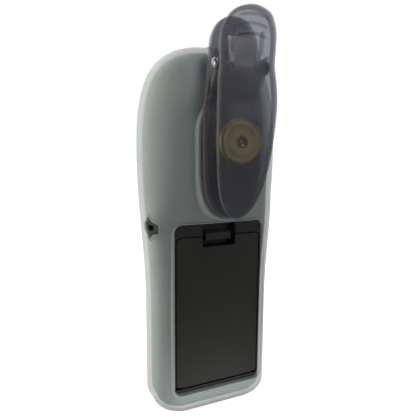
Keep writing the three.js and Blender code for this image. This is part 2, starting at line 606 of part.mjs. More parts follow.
// A smooth closed outline through the half-widths and their mirror images, grown by a margin.
function clipShape(side, grow) {
  const halves = side.slice(1, -1);
  const mirrored = [...halves].reverse().map(([x, z]) => [-x, z]);
  const loop = [side[0], ...halves, side[side.length - 1], ...mirrored];
  const curve = new THREE.SplineCurve([...loop, loop[0]].map(([x, z]) => new THREE.Vector2(x, z)));
  const points = curve.getPoints(Math.round(1.4 * loop.length)).slice(0, -1);
  return polygon(points.map((p, i) => {
    const [before, after] = [points.at(i - 1), points[(i + 1) % points.length]];
    const along = after.clone().sub(before).normalize();
    return [p.x + grow * along.y, p.y - grow * along.x];
  }));
}
const clipOutline = (grow) => clipShape(CLIP_BASE_SIDE, grow);

function makeClipBase() {
  const { y, floorT, rimY, wallT, wallTop } = CLIP;
  const above = block(-FAR, FAR, 0, FAR, wallTop, LENGTH + FAR);
  const tray = cut(plateY(clipOutline(0), y, rimY), cut(plateY(clipOutline(-wallT), y + floorT, FAR), above));
  const cheeks = polygon([[rimY - 1, PIN.z - 13.6], [PIN.y + 1.4, PIN.z - 2.4], [PIN.y + 2.8, PIN.z],
    [PIN.y + 2, PIN.z + 2], [PIN.y, PIN.z + 2.8], [PIN.y - 2.6, PIN.z + 2], [rimY - 1, PIN.z + 9.4]]);
  const ears = [-TABS.earX - TABS.t, TABS.earX].map((x) => plateX(cheeks, x, x + TABS.t));
  return cut(join(tray, ...ears), pinHole(), barY(RIVET.shankR + GAP, 0, FAR, 0, RIVET.z));
}

const pinHole = () => barX(PIN.r + PIN.gap, -FAR, FAR, PIN.y, PIN.z);

// The lever's outer face seen from the side, from its tip to its finger tab.
const LEVER_FACE = [[35.6, 105], [38.6, 117], [41.4, 130], [43.6, 145], [44.7, 158], [44.2, 168], [43.6, 176],
  [44.2, 185], [46, 192], [48.6, 199]];

// What lies between two depths under the lever's outer face. The inner depth can change with height.
function leverBand(outer, inner) {
  const curve = new THREE.SplineCurve(LEVER_FACE.map(([y, z]) => new THREE.Vector2(y, z)));
  const points = curve.getPoints(12);
  const front = points.map((p) => [p.x - outer, p.y]);
  const back = points.map((p) => [p.x - inner(p.y), p.y]).reverse();
  return plateX(polygon([...front, ...back]), -FAR, FAR);
}

// The side walls are shallow at the tip, and deepen towards the pin.
function wallDepth(z) {
  return LEVER.tipDepth + (LEVER.depth - LEVER.tipDepth) * rise(z, [LEVER_FACE[0][1], LEVER.deepZ]);
}

// The lever is a bowed skin with shallow side walls, and two lugs that reach back to the pin.
function makeLever() {
  const outline = plateY(clipShape(CLIP_LEVER_SIDE, 0), 0, FAR);
  const skin = leverBand(0, () => LEVER.skinT).intersect(outline);
  const frame = cut(outline, plateY(clipShape(CLIP_LEVER_SIDE, -LEVER.wallT), 0, FAR));
  const walls = frame.intersect(leverBand(0.5, wallDepth));
  const { lugX, lugR, t } = TABS;
  const lugs = [-lugX - t, lugX].map((x) => join(
    barX(lugR, x, x + t, PIN.y, PIN.z), block(x, x + t, PIN.y, 43, PIN.z - lugR, PIN.z + lugR)));
  return cut(join(skin, walls, ...lugs, ...LEVER.grips.map(gripRidge)), pinHole());
}

// One curved finger ridge across the upper tab.
function gripRidge(z) {
  const arc = new THREE.Shape();
  const [r, spread, t] = [22, 0.36, 0.9];
  arc.absarc(0, z - r, r, Math.PI / 2 - spread, Math.PI / 2 + spread);
  arc.absarc(0, z - r, r - t, Math.PI / 2 + spread, Math.PI / 2 - spread, true);
  return plateY(arc, 0, FAR).intersect(leverBand(-0.5, () => 1));
}

// A flat strip bent round the pin, with a leg up each tab.
function makeLeafSpring() {
  const [r, t, half, legZ] = [2.3, 0.5, 5.2, PIN.z + 13.4];
  const outer = [[CLIP.rimY + GAP, legZ], [PIN.y - r - t, PIN.z + 2]];
  const inner = [[CLIP.rimY + GAP + t, legZ], [PIN.y - r, PIN.z + 2]];
  const arc = (radius) => Array.from({ length: 9 }, (_, i) => {
    const a = Math.PI + i * Math.PI / 8;
    return [PIN.y + radius * Math.cos(a), PIN.z + radius * Math.sin(a)];
  });
  const far = [[PIN.y + r + t, PIN.z + 2], [PIN.y + r + t - 0.3, PIN.z + 11.4]];
  const near = [[PIN.y + r - 0.3, PIN.z + 11.4], [PIN.y + r, PIN.z + 2]];
  const strip = [...outer, ...arc(r + t), ...far, ...near, ...arc(r).reverse(), ...inner.reverse()];
  return plateX(polygon(strip), -half, half);
}

function makeRivet() {
  const { r, shankR, topY, tailY, tailR } = RIVET;
  const seat = CLIP.y + CLIP.floorT + GAP;
  const profile = [[0, tailY], [tailR, tailY], [tailR, tailY + 0.7], [shankR, tailY + 0.7],
    [shankR, topY - 2.4], [r - 3.8, topY - 3], [r - 1.2, topY - 4.4], [r - 1.2, seat], [r, seat],
    [r, topY - 3.4], [r - 1, topY - 2], [r - 3.4, topY - 0.8], [4.2, topY - 0.1], [0, topY]];
  return turned(profile, 32).translate([0, 0, RIVET.z]);
}

function makeClip() {
  piece("clip_base", makeClipBase(), "smoke");
  piece("clip_lever", makeLever(), "smoke");
  piece("clip_pin", barX(PIN.r, -PIN.half, PIN.half, PIN.y, PIN.z), "steel");
  piece("clip_spring", makeLeafSpring(), "steel");
  piece("clip_rivet", makeRivet(), "brass");
  const washerY = RIVET.tailY + 1;
  const washer = cut(barY(RIVET.washerR, washerY, washerY + 0.7, 0, RIVET.z),
    barY(RIVET.shankR + GAP, 0, FAR, 0, RIVET.z));
  piece("rivet_washer", washer, "brass");
}

// ---- Assembly ----
const strapPin = barZ(STRAP.pinR, STRAP.z - 5.9, STRAP.z + 5.9, STRAP.pinX, STRAP.y, 12);
piece("jacket", makeJacket(), "silicone");
piece("front_housing", join(makeFrontHousing(), coverLugs()), "housing");
piece("rear_housing", makeRearHousing(), "housing");
piece("housing_gasket", makeGasket(), "rubber");
screws.forEach((screw, i) => piece(`housing_screw_${i + 1}`, makeScrew(screw), "steel"));
piece("battery_door", makeDoor(), "door");
piece("door_gasket", makeDoorGasket(), "rubber");
piece("door_latch", makeLatch(), "door");
piece("strap_pin", strapPin, "steel");
makePower();
makeFrontPanel();
makeWell();
piece("ribbon_cable", makeRibbon(), "film");
makeClip();

export default refractometer;
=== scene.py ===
"""The looks of a palm-held digital refractometer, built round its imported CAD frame.

Shapes are worked out in millimetres in the CAD's own frame, and each finished piece is scaled to metres.
+Z runs up the length, the display faces -Y, and the battery door and the belt clip face +Y."""

import math
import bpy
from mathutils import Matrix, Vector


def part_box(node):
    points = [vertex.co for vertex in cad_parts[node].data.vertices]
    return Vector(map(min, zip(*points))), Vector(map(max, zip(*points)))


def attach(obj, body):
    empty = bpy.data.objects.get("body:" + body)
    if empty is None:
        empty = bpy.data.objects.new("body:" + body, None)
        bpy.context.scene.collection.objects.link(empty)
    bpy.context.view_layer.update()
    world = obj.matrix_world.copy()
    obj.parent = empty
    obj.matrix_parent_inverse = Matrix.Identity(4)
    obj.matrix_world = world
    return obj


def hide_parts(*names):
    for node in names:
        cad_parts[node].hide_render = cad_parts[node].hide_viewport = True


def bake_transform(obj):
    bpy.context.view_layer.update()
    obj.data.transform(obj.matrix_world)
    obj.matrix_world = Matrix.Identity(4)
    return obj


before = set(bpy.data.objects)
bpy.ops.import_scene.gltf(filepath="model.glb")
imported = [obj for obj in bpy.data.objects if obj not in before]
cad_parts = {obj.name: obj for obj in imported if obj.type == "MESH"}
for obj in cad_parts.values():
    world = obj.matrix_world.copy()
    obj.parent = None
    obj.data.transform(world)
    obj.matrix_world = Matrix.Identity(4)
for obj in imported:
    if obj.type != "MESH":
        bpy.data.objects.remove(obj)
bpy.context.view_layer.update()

from types import SimpleNamespace as Sizes

import bmesh
import bpy
from mathutils import Matrix, Vector

MM = 0.001


def span(node):
    """A CAD node's lowest and highest corners, in millimetres."""
    low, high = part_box(node)
    return low / MM, high / MM


def centre_xy(low, high):
    """The upright line through the middle of a box, as (x, y)."""
    return (low.x + high.x) / 2, (low.y + high.y) / 2


# ---- Driving dimensions ----
JACKET_LOW, JACKET_HIGH = span("jacket")
LENGTH = JACKET_HIGH.z           # the jacket, end to end
HEAD_HALF = JACKET_HIGH.x        # half the head's width at its widest
FRONT_Y = JACKET_LOW.y           # the jacket's front face
BACK_Y = 18                      # the handle's back face
HANDLE_HALF = 32.3               # half the handle's width
WAIST_Z, SHOULDER_Z = 58, 132    # where the handle starts to widen, and where the head is widest
HEAD_POWER = 3                   # roundness of the head's outline
FOOT_R = 9                       # rounding round the foot
HEAD_BACK_R, HEAD_FRONT_R = 16, 8    # rounding over the top
FRONT_CORNER_R, BACK_CORNER_R = 11, 12
SWELL = 8                        # how far the head's back stands proud of the handle's
SWELL_LOW, SWELL_HIGH = (96, 126), (156, 190)    # the heights over which it rises, and falls
GAP = 0.3                        # clearance between fitted pieces
JACKET_WALL, SHELL_WALL = 2.6, 2.2
SHELL_INSET = JACKET_WALL + GAP
CAVITY_INSET = SHELL_INSET + SHELL_WALL
SPLIT_Y, GASKET_T = -3, 1
FRONT_INSET = 7                  # margin of jacket left round the front panel
FAR = 60                         # a reach past every face, for cuts

WINDOW = Sizes(half=25, low=13, high=101.5, r=4)
DOOR_LOW, DOOR_HIGH = span("battery_door")
DOOR_R, DOOR_T, DOOR_GAP = 2.5, 2, 0.4       # corners, thickness and clearance
BAY = Sizes(half=20, low=22, high=88, floor=-1.2, wall=1.4)
RECESS = Sizes(half=9.25, low=89.3, high=101.2, floor=11)
STRAP = Sizes(y=8.2, z=99.5, half_w=6, half_h=5.75, notch=3, end=2, pocket_x=24.2, wall=2)
CLIP_Y, CLIP_RIM_Y = span("clip_base")[0].y, 30.8
CLIP_FLOOR, CLIP_WALL, CLIP_WALL_TOP = 1.8, 1.7, 180
# The rim round the clip's seat, which fades and narrows over stretches of its height.
SEAT_RIM = Sizes(inner=0.5, outer=1.9, height=0.9, flare=0.9, fade=(148, 168),
                 narrow=(146, 170), slope_z=174, slope=0.99)
LEVER = Sizes(skin=1.9, wall=1.5, tip_depth=2.2, depth=3.4, deepens=(105, 165), shoulder=0.9,
              crown=0.25, grips=(187, 190.8, 194.2), ribs=(178.6, 188.6), rib_x=6.9)
PIN_LOW, PIN_HIGH = span("clip_pin")
PIN_Y, PIN_Z = (PIN_LOW.y + PIN_HIGH.y) / 2, (PIN_LOW.z + PIN_HIGH.z) / 2
PIN_R, PIN_HOLE_R = 1.6, 1.8
# The base's ears and the lever's lugs: their inner faces, their thickness and the lugs' round ends.
TABS = Sizes(ear=11.2, lug=9.3, t=1.5, lug_r=2.8)
RIVET_LOW, RIVET_HIGH = span("clip_rivet")
RIVET_Z, RIVET_R, RIVET_SHANK_R = (RIVET_LOW.z + RIVET_HIGH.z) / 2, 10.7, 2.5
WELL_Z, WELL_R, WELL_HOLE_R = 148, 19, 5.3
COVER_Y, COVER_Z, COVER_R = FRONT_Y - 2.4, WELL_Z + 22.6, 20.2    # the cover's hinge line, and its radius
COVER_PIN_R, COVER_HOLE_R = 0.75, 0.95
DISPLAY = Sizes(half=20, low=96, high=120)
KEY_X, KEY_Z, KEY_R = 12.5, 74, 6.5
THROUGH = (FRONT_Y - 9, FRONT_Y + 8)     # a cut from one to the other passes through the front panel
SCREWS = [(-20, 8.6, 10.5), (20, 8.6, 10.5), (-21, 161, 13), (21, 161, 13)]    # x, z and the head's seat
POST_R, SCREW_HEAD_R, SCREW_HOLE_R = 3.4, 2.8, 1.55

# The clip's two halves, from the lower tip to the upper tab, as (half-width, z).
BASE_SIDE = [(0, 105.6), (6.4, 107.2), (10.8, 111), (13.5, 117), (14.7, 126), (15, 141), (14.8, 154),
             (13.8, 164), (12.7, 172), (12.1, 182), (11.2, 188), (8.6, 193), (5, 196), (0, 197)]
LEVER_SIDE = [(0, 105.6), (5.4, 108.4), (8.6, 113), (10.9, 119), (12.6, 128), (13.6, 137), (14.2, 147),
              (14.4, 158), (14, 167), (13.2, 174), (13.4, 181), (13.1, 187), (11.2, 191.8), (7.6, 195.6),
              (0, 197.4)]
# The lever's outer face seen from the side, as (y, z).
LEVER_FACE = [(35.6, 105), (38.6, 117), (41.4, 130), (43.6, 145), (44.7, 158), (44.2, 168), (43.6, 176),
              (44.2, 185), (46, 192), (48.6, 199)]


# ---- Meshes ----

def add_object(name, data):
    made = bpy.data.objects.new(name, data)
    bpy.context.scene.collection.objects.link(made)
    return made


def skin(rings, loop=False, caps=True):
    """A solid over rings of equal length. A loop's last ring meets its first; else caps close the ends."""
    bm = bmesh.new()
    rows = [[bm.verts.new(p) for p in ring] for ring in rings]
    count = len(rows[0])
    pairs = list(zip(rows, rows[1:]))
    if loop:
        pairs.append((rows[-1], rows[0]))
    for a, b in pairs:
        for i in range(count):
            j = (i + 1) % count
            bm.faces.new((a[i], a[j], b[j], b[i]))
    if caps and not loop:
        bm.faces.new(list(reversed(rows[0])))
        bm.faces.new(rows[-1])
    bmesh.ops.remove_doubles(bm, verts=bm.verts, dist=0.004)
    bmesh.ops.recalc_face_normals(bm, faces=bm.faces)
    mesh = bpy.data.meshes.new("shape")
    bm.to_mesh(mesh)
    bm.free()
    return add_object("shape", mesh)


def settle(obj):
    """Applies the object's modifiers."""
    graph = bpy.context.evaluated_depsgraph_get()
    obj.data = bpy.data.meshes.new_from_object(obj.evaluated_get(graph))
    obj.modifiers.clear()
    return obj


def combine(target, others, operation):
    """Joins, cuts or meets a target with other shapes, which it uses up."""
    for other in others:
        step = target.modifiers.new("combine", "BOOLEAN")
        step.object = other
        step.operation = operation
        step.solver = "MANIFOLD"
    settle(target)
    for other in others:
        bpy.data.objects.remove(other)
    return target


def join(target, *others):
    return combine(target, others, "UNION")


def cut(target, *others):
    return combine(target, others, "DIFFERENCE")


def meet(target, other):
    return combine(target, [other], "INTERSECT")


def bevel(obj, width, segments=3, angle=40):
    """Rounds every edge sharper than an angle."""
    step = obj.modifiers.new("bevel", "BEVEL")
    step.width = width
    step.segments = segments
    step.limit_method = "ANGLE"
    step.angle_limit = math.radians(angle)
    return settle(obj)


def stack(outline, steps, axis=1):
    """A solid over one outline that takes a margin, from (margin, place on the axis) steps."""
    return skin([[lift(p, where, axis) for p in outline(margin)] for margin, where in steps])


def plate(points, near, far, axis=1):
    """An outline made solid between two places on an axis."""
    return skin([[lift(p, where, axis) for p in points] for where in (near, far)])


def lift(point, where, axis):
    """A point of a flat outline, put at a place on the axis that the outline leaves out."""
    spot = list(point)
    spot.insert(axis, where)
    return spot


def block(x0, x1, y0, y1, z0, z1):
    return plate([(x0, z0), (x1, z0), (x1, z1), (x0, z1)], y0, y1)


def full_turn(sides):
    return [2 * math.pi * i / sides for i in range(sides)]


def arc(start, sweep, steps):
    """Angles from a start, with both ends."""
    return [start + sweep * i / steps for i in range(steps + 1)]


def quarter(steps):
    return arc(0, math.pi / 2, steps)


def points_round(centre, r, angles):
    return [(centre[0] + r * math.cos(a), centre[1] + r * math.sin(a)) for a in angles]


def corner(centre, r, start, steps):
    """A quarter circle from a start angle in degrees."""
    return points_round(centre, r, [math.radians(a) for a in arc(start, 90, steps)])


def circle(r, centre, sides=48):
    return points_round(centre, r, full_turn(sides))


def bar(r, near, far, centre, axis=1, edge=0.0, sides=32):
    """A round bar along an axis, its ends rounded by an edge radius."""
    steps = [(r, near), (r, far)]
    if edge:
        steps = [(r - edge * (1 - math.sin(a)), near + edge * (1 - math.cos(a))) for a in quarter(4)]
        steps += [(r - edge * (1 - math.cos(a)), far - edge * (1 - math.sin(a))) for a in quarter(4)]
    return stack(lambda radius: circle(radius, centre, sides), steps, axis)


def turned(profile, centre, sides=96):
    """A piece turned about a line along Y, from (radius, y) pairs that end on the axis or meet."""
    rings = [[lift(p, y, 1) for p in circle(r, centre, sides)] for r, y in profile]
    closed = profile[0] == profile[-1]
    return skin(rings[:-1] if closed else rings, loop=closed, caps=False)


def edge_steps(margin, wall, face, r, steps=4):
    """(margin, place) steps from a wall, round an edge of radius r, to a face."""
    out = 1 if face > wall else -1
    return [(margin, wall)] + [(margin - r * (1 - math.cos(a)), face - out * r * (1 - math.sin(a)))
                               for a in quarter(steps)]


def rounded_rect(x0, x1, z0, z1, r, steps=8):
    """A function from a margin to a rounded rectangle."""
    centres = [(x1 - r, z0 + r, -90), (x1 - r, z1 - r, 0), (x0 + r, z1 - r, 90), (x0 + r, z0 + r, 180)]

    def outline(margin):
        radius = max(r + margin, 0.05)
        points = []
        for cx, cz, start in centres:
            points += corner((cx, cz), radius, start, steps)
        return points
    return outline


def spline(points, steps, closed=False):
    """A smooth curve through points, with a number of steps between each two."""
    count = len(points)

    def at(i):
        return points[i % count if closed else min(max(i, 0), count - 1)]
    made = []
    for i in range(count if closed else count - 1):
        p = [at(i + k) for k in (-1, 0, 1, 2)]
        for step in range(steps):
            t = step / steps
            made.append(tuple(
                0.5 * (2 * b + (c - a) * t + (2 * a - 5 * b + 4 * c - d) * t ** 2
                       + (3 * b - a - 3 * c + d) * t ** 3)
                for a, b, c, d in zip(*p)))
    return made if closed else made + [tuple(map(float, points[-1]))]


# ---- The body's form, shared by the jacket and both shells ----

def clamp(value):
    return min(max(value, 0.0), 1.0)


def ease(t):
    """A smooth step from 0 to 1."""
    return t * t * (3 - 2 * t)


def rise(z, between):
    """A smooth step from 0 at the first height to 1 at the second."""
    return ease(clamp((z - between[0]) / (between[1] - between[0])))


def fall_back(height, r):
    """How far an edge of radius r has fallen back at a height above its end."""
    d = r - max(height, 0.0)
    return r - math.sqrt(max(r * r - d * d, 0.0)) if d > 0 else 0.0


def half_width(z, inset):
    if z >= SHOULDER_Z:
        t = clamp((z - SHOULDER_Z) / (LENGTH - inset - SHOULDER_Z))
        return (HEAD_HALF - inset) * (1 - t ** HEAD_POWER) ** (1 / HEAD_POWER)
    widening = (HEAD_HALF - HANDLE_HALF) * rise(z, (WAIST_Z, SHOULDER_Z))
    return HANDLE_HALF + widening - inset - fall_back(z - inset, FOOT_R + 1 - inset)


def swell(z):
    """How far the middle of the back stands out at a height."""
    return SWELL * rise(z, SWELL_LOW) * (1 - rise(z, SWELL_HIGH))


def depths(z, inset):
    """The front and back faces at a height."""
    foot = fall_back(z - inset, FOOT_R - inset)
    front = FRONT_Y + inset + foot + fall_back(LENGTH - inset - z, HEAD_FRONT_R - inset)
    back = BACK_Y - inset - foot - fall_back(LENGTH - inset - z, HEAD_BACK_R - inset)
    return front, back


def corner_radii(z, inset):
    width = half_width(z, inset)
    front, back = depths(z, inset)
    most = min(width, (back - front) / 2.2)
    return min(FRONT_CORNER_R - inset, most), min(BACK_CORNER_R + swell(z) / 2 - inset, most)


def body_ring(z, inset, corner_steps, across):
    """One level of the body, counter-clockwise from above."""
    w = half_width(z, inset)
    y0, y1 = depths(z, inset)
    fr, br = corner_radii(z, inset)
    middle = (y0 + y1) / 2

    def swollen(x, y):
        """The head's swell starts halfway to its back, and dies away towards its sides."""
        share = 1 - (x / w) ** 2 if w > 0.1 else 1
        return y + swell(z) * ease(clamp((y - middle) / (y1 - middle))) * share
    ring = []
    for cx, cy, r, start in ((w - fr, y0 + fr, fr, -90), (w - br, y1 - br, br, 0),
                             (br - w, y1 - br, br, 90), (fr - w, y0 + fr, fr, 180)):
        ring += corner((cx, cy), r, start, corner_steps)
        if start == 0:
            ring += [((w - br) * (1 - 2 * i / across), y1) for i in range(1, across)]
        if start == 180:
            ring += [((fr - w) * (1 - 2 * i / across), y0) for i in range(1, across)]
    return [(x, swollen(x, y), z) for x, y in ring]


def levels(inset, fine=1.0):
    """Heights to draw the body at, close together round the foot and the head."""
    foot = FOOT_R + 1 - inset
    made = [inset + foot * (1 - math.cos(a)) for a in quarter(round(12 * fine))]
    count = round(44 * fine)
    made += [made[-1] + (SHOULDER_Z - made[-1]) * i / count for i in range(1, count)]
    head = LENGTH - inset - SHOULDER_Z
    return made + [SHOULDER_Z + head * math.sin(a) for a in quarter(round(40 * fine))]


def body(inset, fine=1.0):
    """The body's form, inset from the jacket's outer face."""
    steps = round(12 * fine), round(16 * fine)
    return skin([body_ring(z, inset, *steps) for z in levels(inset, fine)])


def back_face(x, z):
    """How far out the jacket's back is at a place on it, away from its side corners."""
    share = min(abs(x) / max(half_width(z, 0), 1.0), 1.0)
    return depths(z, 0)[1] + swell(z) * (1 - share ** 2)


def side_face(y, z):
    """How far out the jacket's side is at a place on it."""
    y0, y1 = depths(z, 0)
    fr, br = corner_radii(z, 0)
    if y > y1 - br:
        return half_width(z, 0) - fall_back(y1 - y, br)
    return half_width(z, 0) - fall_back(y - y0, fr)


def body_outline(inset):
    """A function from a margin to the body's outline seen from the front."""
    def outline(margin):
        deep = inset - margin
        foot = max(FOOT_R + 1 - deep, 3)
        side = [deep + foot * (1 - math.cos(a)) for a in quarter(8)]
        side += [side[-1] + (SHOULDER_Z - side[-1]) * i / 24 for i in range(1, 24)]
        side += [SHOULDER_Z + (LENGTH - deep - SHOULDER_Z) * math.sin(a) for a in quarter(24)][:-1]
        right = [(half_width(z, deep), z) for z in side]
        return right + [(0, LENGTH - deep)] + [(-x, z) for x, z in reversed(right)]
    return outline


# ---- The belt clip's outlines ----

def clip_loop(side):
    """A smooth closed outline through half-widths and their mirror images, and its outward normals."""
    mirrored = [(-x, z) for x, z in reversed(side[1:-1])]
    points = spline(side + mirrored, 6, closed=True)
    normals = []
    for i, _ in enumerate(points):
        before, after = Vector(points[i - 1]), Vector(points[(i + 1) % len(points)])
        along = (after - before).normalized()
        normals.append((along.y, -along.x))
    return points, normals


def clip_outline(side):
    """A function from a margin to one of the clip's outlines."""
    points, normals = clip_loop(side)

    def outline(margin):
        return [(x + margin * nx, z + margin * nz) for (x, z), (nx, nz) in zip(points, normals)]
    return outline


def spine(points, reach):
    """The centre line that an outline's points lead in to, which stops a reach short of each end."""
    low, high = min(z for _, z in points) + reach, max(z for _, z in points) - reach
    return [(0.0, min(max(z, low), high)) for _, z in points]


def blend_points(a, b, t):
    return [(ax + (bx - ax) * t, az + (bz - az) * t) for (ax, az), (bx, bz) in zip(a, b)]


LEVER_CURVE = spline(LEVER_FACE, 8)


def lever_face_y(z):
    """How far out the lever's outer face is at a height."""
    for (y0, z0), (y1, z1) in zip(LEVER_CURVE, LEVER_CURVE[1:]):
        if z <= z1:
            return y0 + (y1 - y0) * (z - z0) / (z1 - z0)
    return LEVER_CURVE[-1][0]


# ---- Materials ----

def tree(made):
    return made.node_tree.nodes, made.node_tree.links


def fill(node, **values):
    """Sets a node's sockets, with _ for each space in a socket's name."""
    for socket, value in values.items():
        node.inputs[socket.replace("_", " ")].default_value = value
    return node


def material(name, colour, roughness, vary=0.06, patch=60, grain=1400, bump=0.05, spread=0.08, **sockets):
    """A Principled surface whose colour drifts in soft patches, with a fine grain in its gloss.

    patch and grain are noise scales per metre, vary and spread how much colour and roughness drift."""
    made = bpy.data.materials.new(name)
    made.use_nodes = True
    nodes, links = tree(made)
    shader = nodes["Principled BSDF"]
    place = nodes.new("ShaderNodeTexCoord")
    drift = fill(nodes.new("ShaderNodeTexNoise"), Scale=patch, Detail=4)
    fine = fill(nodes.new("ShaderNodeTexNoise"), Scale=grain, Detail=2)
    for noise in (drift, fine):
        links.new(place.outputs["Object"], noise.inputs["Vector"])
    tint = nodes.new("ShaderNodeMix")
    tint.data_type = "RGBA"
    fill(tint, A=(*[c * (1 - vary) for c in colour], 1), B=(*[min(c * (1 + vary), 1) for c in colour], 1))
    links.new(drift.outputs["Fac"], tint.inputs["Factor"])
    links.new(tint.outputs["Result"], shader.inputs["Base Color"])
    gloss = fill(nodes.new("ShaderNodeMapRange"),
                 To_Min=max(roughness - spread, 0.02), To_Max=min(roughness + spread, 1))
    links.new(fine.outputs["Fac"], gloss.inputs["Value"])
    links.new(gloss.outputs["Result"], shader.inputs["Roughness"])
    relief = fill(nodes.new("ShaderNodeBump"), Strength=bump, Distance=0.0002)
    links.new(fine.outputs["Fac"], relief.inputs["Height"])
    links.new(relief.outputs["Normal"], shader.inputs["Normal"])
    fill(shader, **sockets)
    return made


def object_place(made):
    """The socket that gives a material its place on the object."""
    return next(n for n in made.node_tree.nodes if n.type == "TEX_COORD").outputs["Object"]


def brushed(name, colour, roughness, axis, grain=2200, stretch=30):
    """A metal whose fine grain runs along one axis."""
    made = material(name, colour, roughness, vary=0.05, grain=grain, bump=0.05, Metallic=1.0)
    nodes, links = tree(made)
    fine = next(n for n in nodes if n.type == "TEX_NOISE" and n.inputs["Scale"].default_value == grain)
    squeeze = nodes.new("ShaderNodeMapping")
    squeeze.inputs["Scale"].default_value[axis] = 1 / stretch
    links.new(object_place(made), squeeze.inputs["Vector"])
    links.new(squeeze.outputs["Vector"], fine.inputs["Vector"])
    return made


def absorbing(made, colour, density):
    """Fills a see-through material with a tint that deepens with its thickness."""
    nodes, links = tree(made)
    tint = fill(nodes.new("ShaderNodeVolumeAbsorption"), Color=(*colour, 1), Density=density)
    links.new(tint.outputs["Volume"], nodes["Material Output"].inputs["Volume"])
    return made


def banded(made, lowest, bands):
    """Gives a material rings of colour up its height, from (lower edge in metres, colour) bands."""
    nodes, links = tree(made)
    apart = nodes.new("ShaderNodeSeparateXYZ")
    links.new(object_place(made), apart.inputs["Vector"])
    base = nodes.new("ShaderNodeRGB")
    base.outputs[0].default_value = (*lowest, 1)
    value = base.outputs[0]
    for edge, colour in bands:
        above = nodes.new("ShaderNodeMath")
        above.operation = "GREATER_THAN"
        above.inputs[1].default_value = edge
        links.new(apart.outputs["Z"], above.inputs[0])
        pick = nodes.new("ShaderNodeMix")
        pick.data_type = "RGBA"
        fill(pick, B=(*colour, 1))
        links.new(value, pick.inputs["A"])
        links.new(above.outputs[0], pick.inputs["Factor"])
        value = pick.outputs["Result"]
    links.new(value, nodes["Principled BSDF"].inputs["Base Color"])
    return made


FINISH = {
    "silicone": material("silicone", (0.53, 0.615, 0.605), 0.5, vary=0.04, patch=24, grain=2600, bump=0.06,
                         spread=0.06, Alpha=0.56, Sheen_Weight=0.7, Sheen_Roughness=0.45, IOR=1.41),
    "housing": material("housing", (0.03, 0.032, 0.03), 0.55, vary=0.12, grain=3200, bump=0.3),
    "door": material("door", (0.034, 0.036, 0.03), 0.5, vary=0.14, patch=40, grain=3000, bump=0.35),
    "seal": material("seal", (0.012, 0.012, 0.013), 0.8, vary=0.1, bump=0.1),
    "smoke": absorbing(material("smoke", (0.37, 0.375, 0.405), 0.17, vary=0.03, patch=30, grain=700, bump=0,
                                spread=0.003, Alpha=0.34, Transmission_Weight=0.25, IOR=1.2,
                                Specular_IOR_Level=0.5),
                       (0.44, 0.455, 0.51), 780),
    "spring": material("spring", (0.9, 0.9, 0.87), 0.45, vary=0.03, bump=0.02, Metallic=1.0),
    "steel": brushed("steel", (0.5, 0.5, 0.49), 0.26, 0),
    "well_steel": material("well_steel", (0.66, 0.67, 0.68), 0.18, grain=1800, bump=0.04, Metallic=1.0),
    "brass": material("brass", (0.92, 0.7, 0.22), 0.3, vary=0.12, patch=180, grain=1500, bump=0.15,
                      Metallic=1.0),
    "tin": material("tin", (0.58, 0.58, 0.56), 0.3, vary=0.08, bump=0.08, Metallic=1.0),
    "board": material("board", (0.012, 0.1, 0.05), 0.4, vary=0.25, patch=500, bump=0.15),
    "glass": material("glass", (0.92, 0.95, 0.96), 0.03, vary=0.01, bump=0.0, spread=0.01,
                      Transmission_Weight=1.0, IOR=1.52),
    "lcd": material("lcd", (0.27, 0.31, 0.22), 0.35, vary=0.04, bump=0.02),
    "film": material("film", (0.045, 0.052, 0.06), 0.45, vary=0.06, grain=2600, bump=0.12),
    "cell": banded(material("cell", (0.05, 0.06, 0.08), 0.3, bump=0.03, Metallic=0.4), (0.04, 0.05, 0.07),
                   [(0.066, (0.42, 0.25, 0.07)), (0.0785, (0.5, 0.5, 0.48))]),
    "key": material("key", (0.1, 0.12, 0.14), 0.65, vary=0.06, grain=2400, bump=0.2),
}


def piece(obj, name, finish, body_name, nodes, angle=32):
    """Scales a shape to metres, gives it its material, and lets it stand for its CAD nodes."""
    obj.name = obj.data.name = name
    obj.data.transform(Matrix.Scale(MM, 4))
    obj.data.materials.clear()
    obj.data.materials.append(FINISH[finish])
    obj.data.shade_smooth()
    obj.data.set_sharp_from_angle(angle=math.radians(angle))
    if body_name:
        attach(obj, body_name)
    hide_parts(*nodes)
    return obj


# ---- Jacket ----

def window_outline():
    return rounded_rect(-WINDOW.half, WINDOW.half, WINDOW.low, WINDOW.high, WINDOW.r, 10)


def seat_face(z):
    """The clip's seat: flat behind the clip, and sloping away to the head above it."""
    return CLIP_Y - GAP - SEAT_RIM.slope * max(z - SEAT_RIM.slope_z, 0)


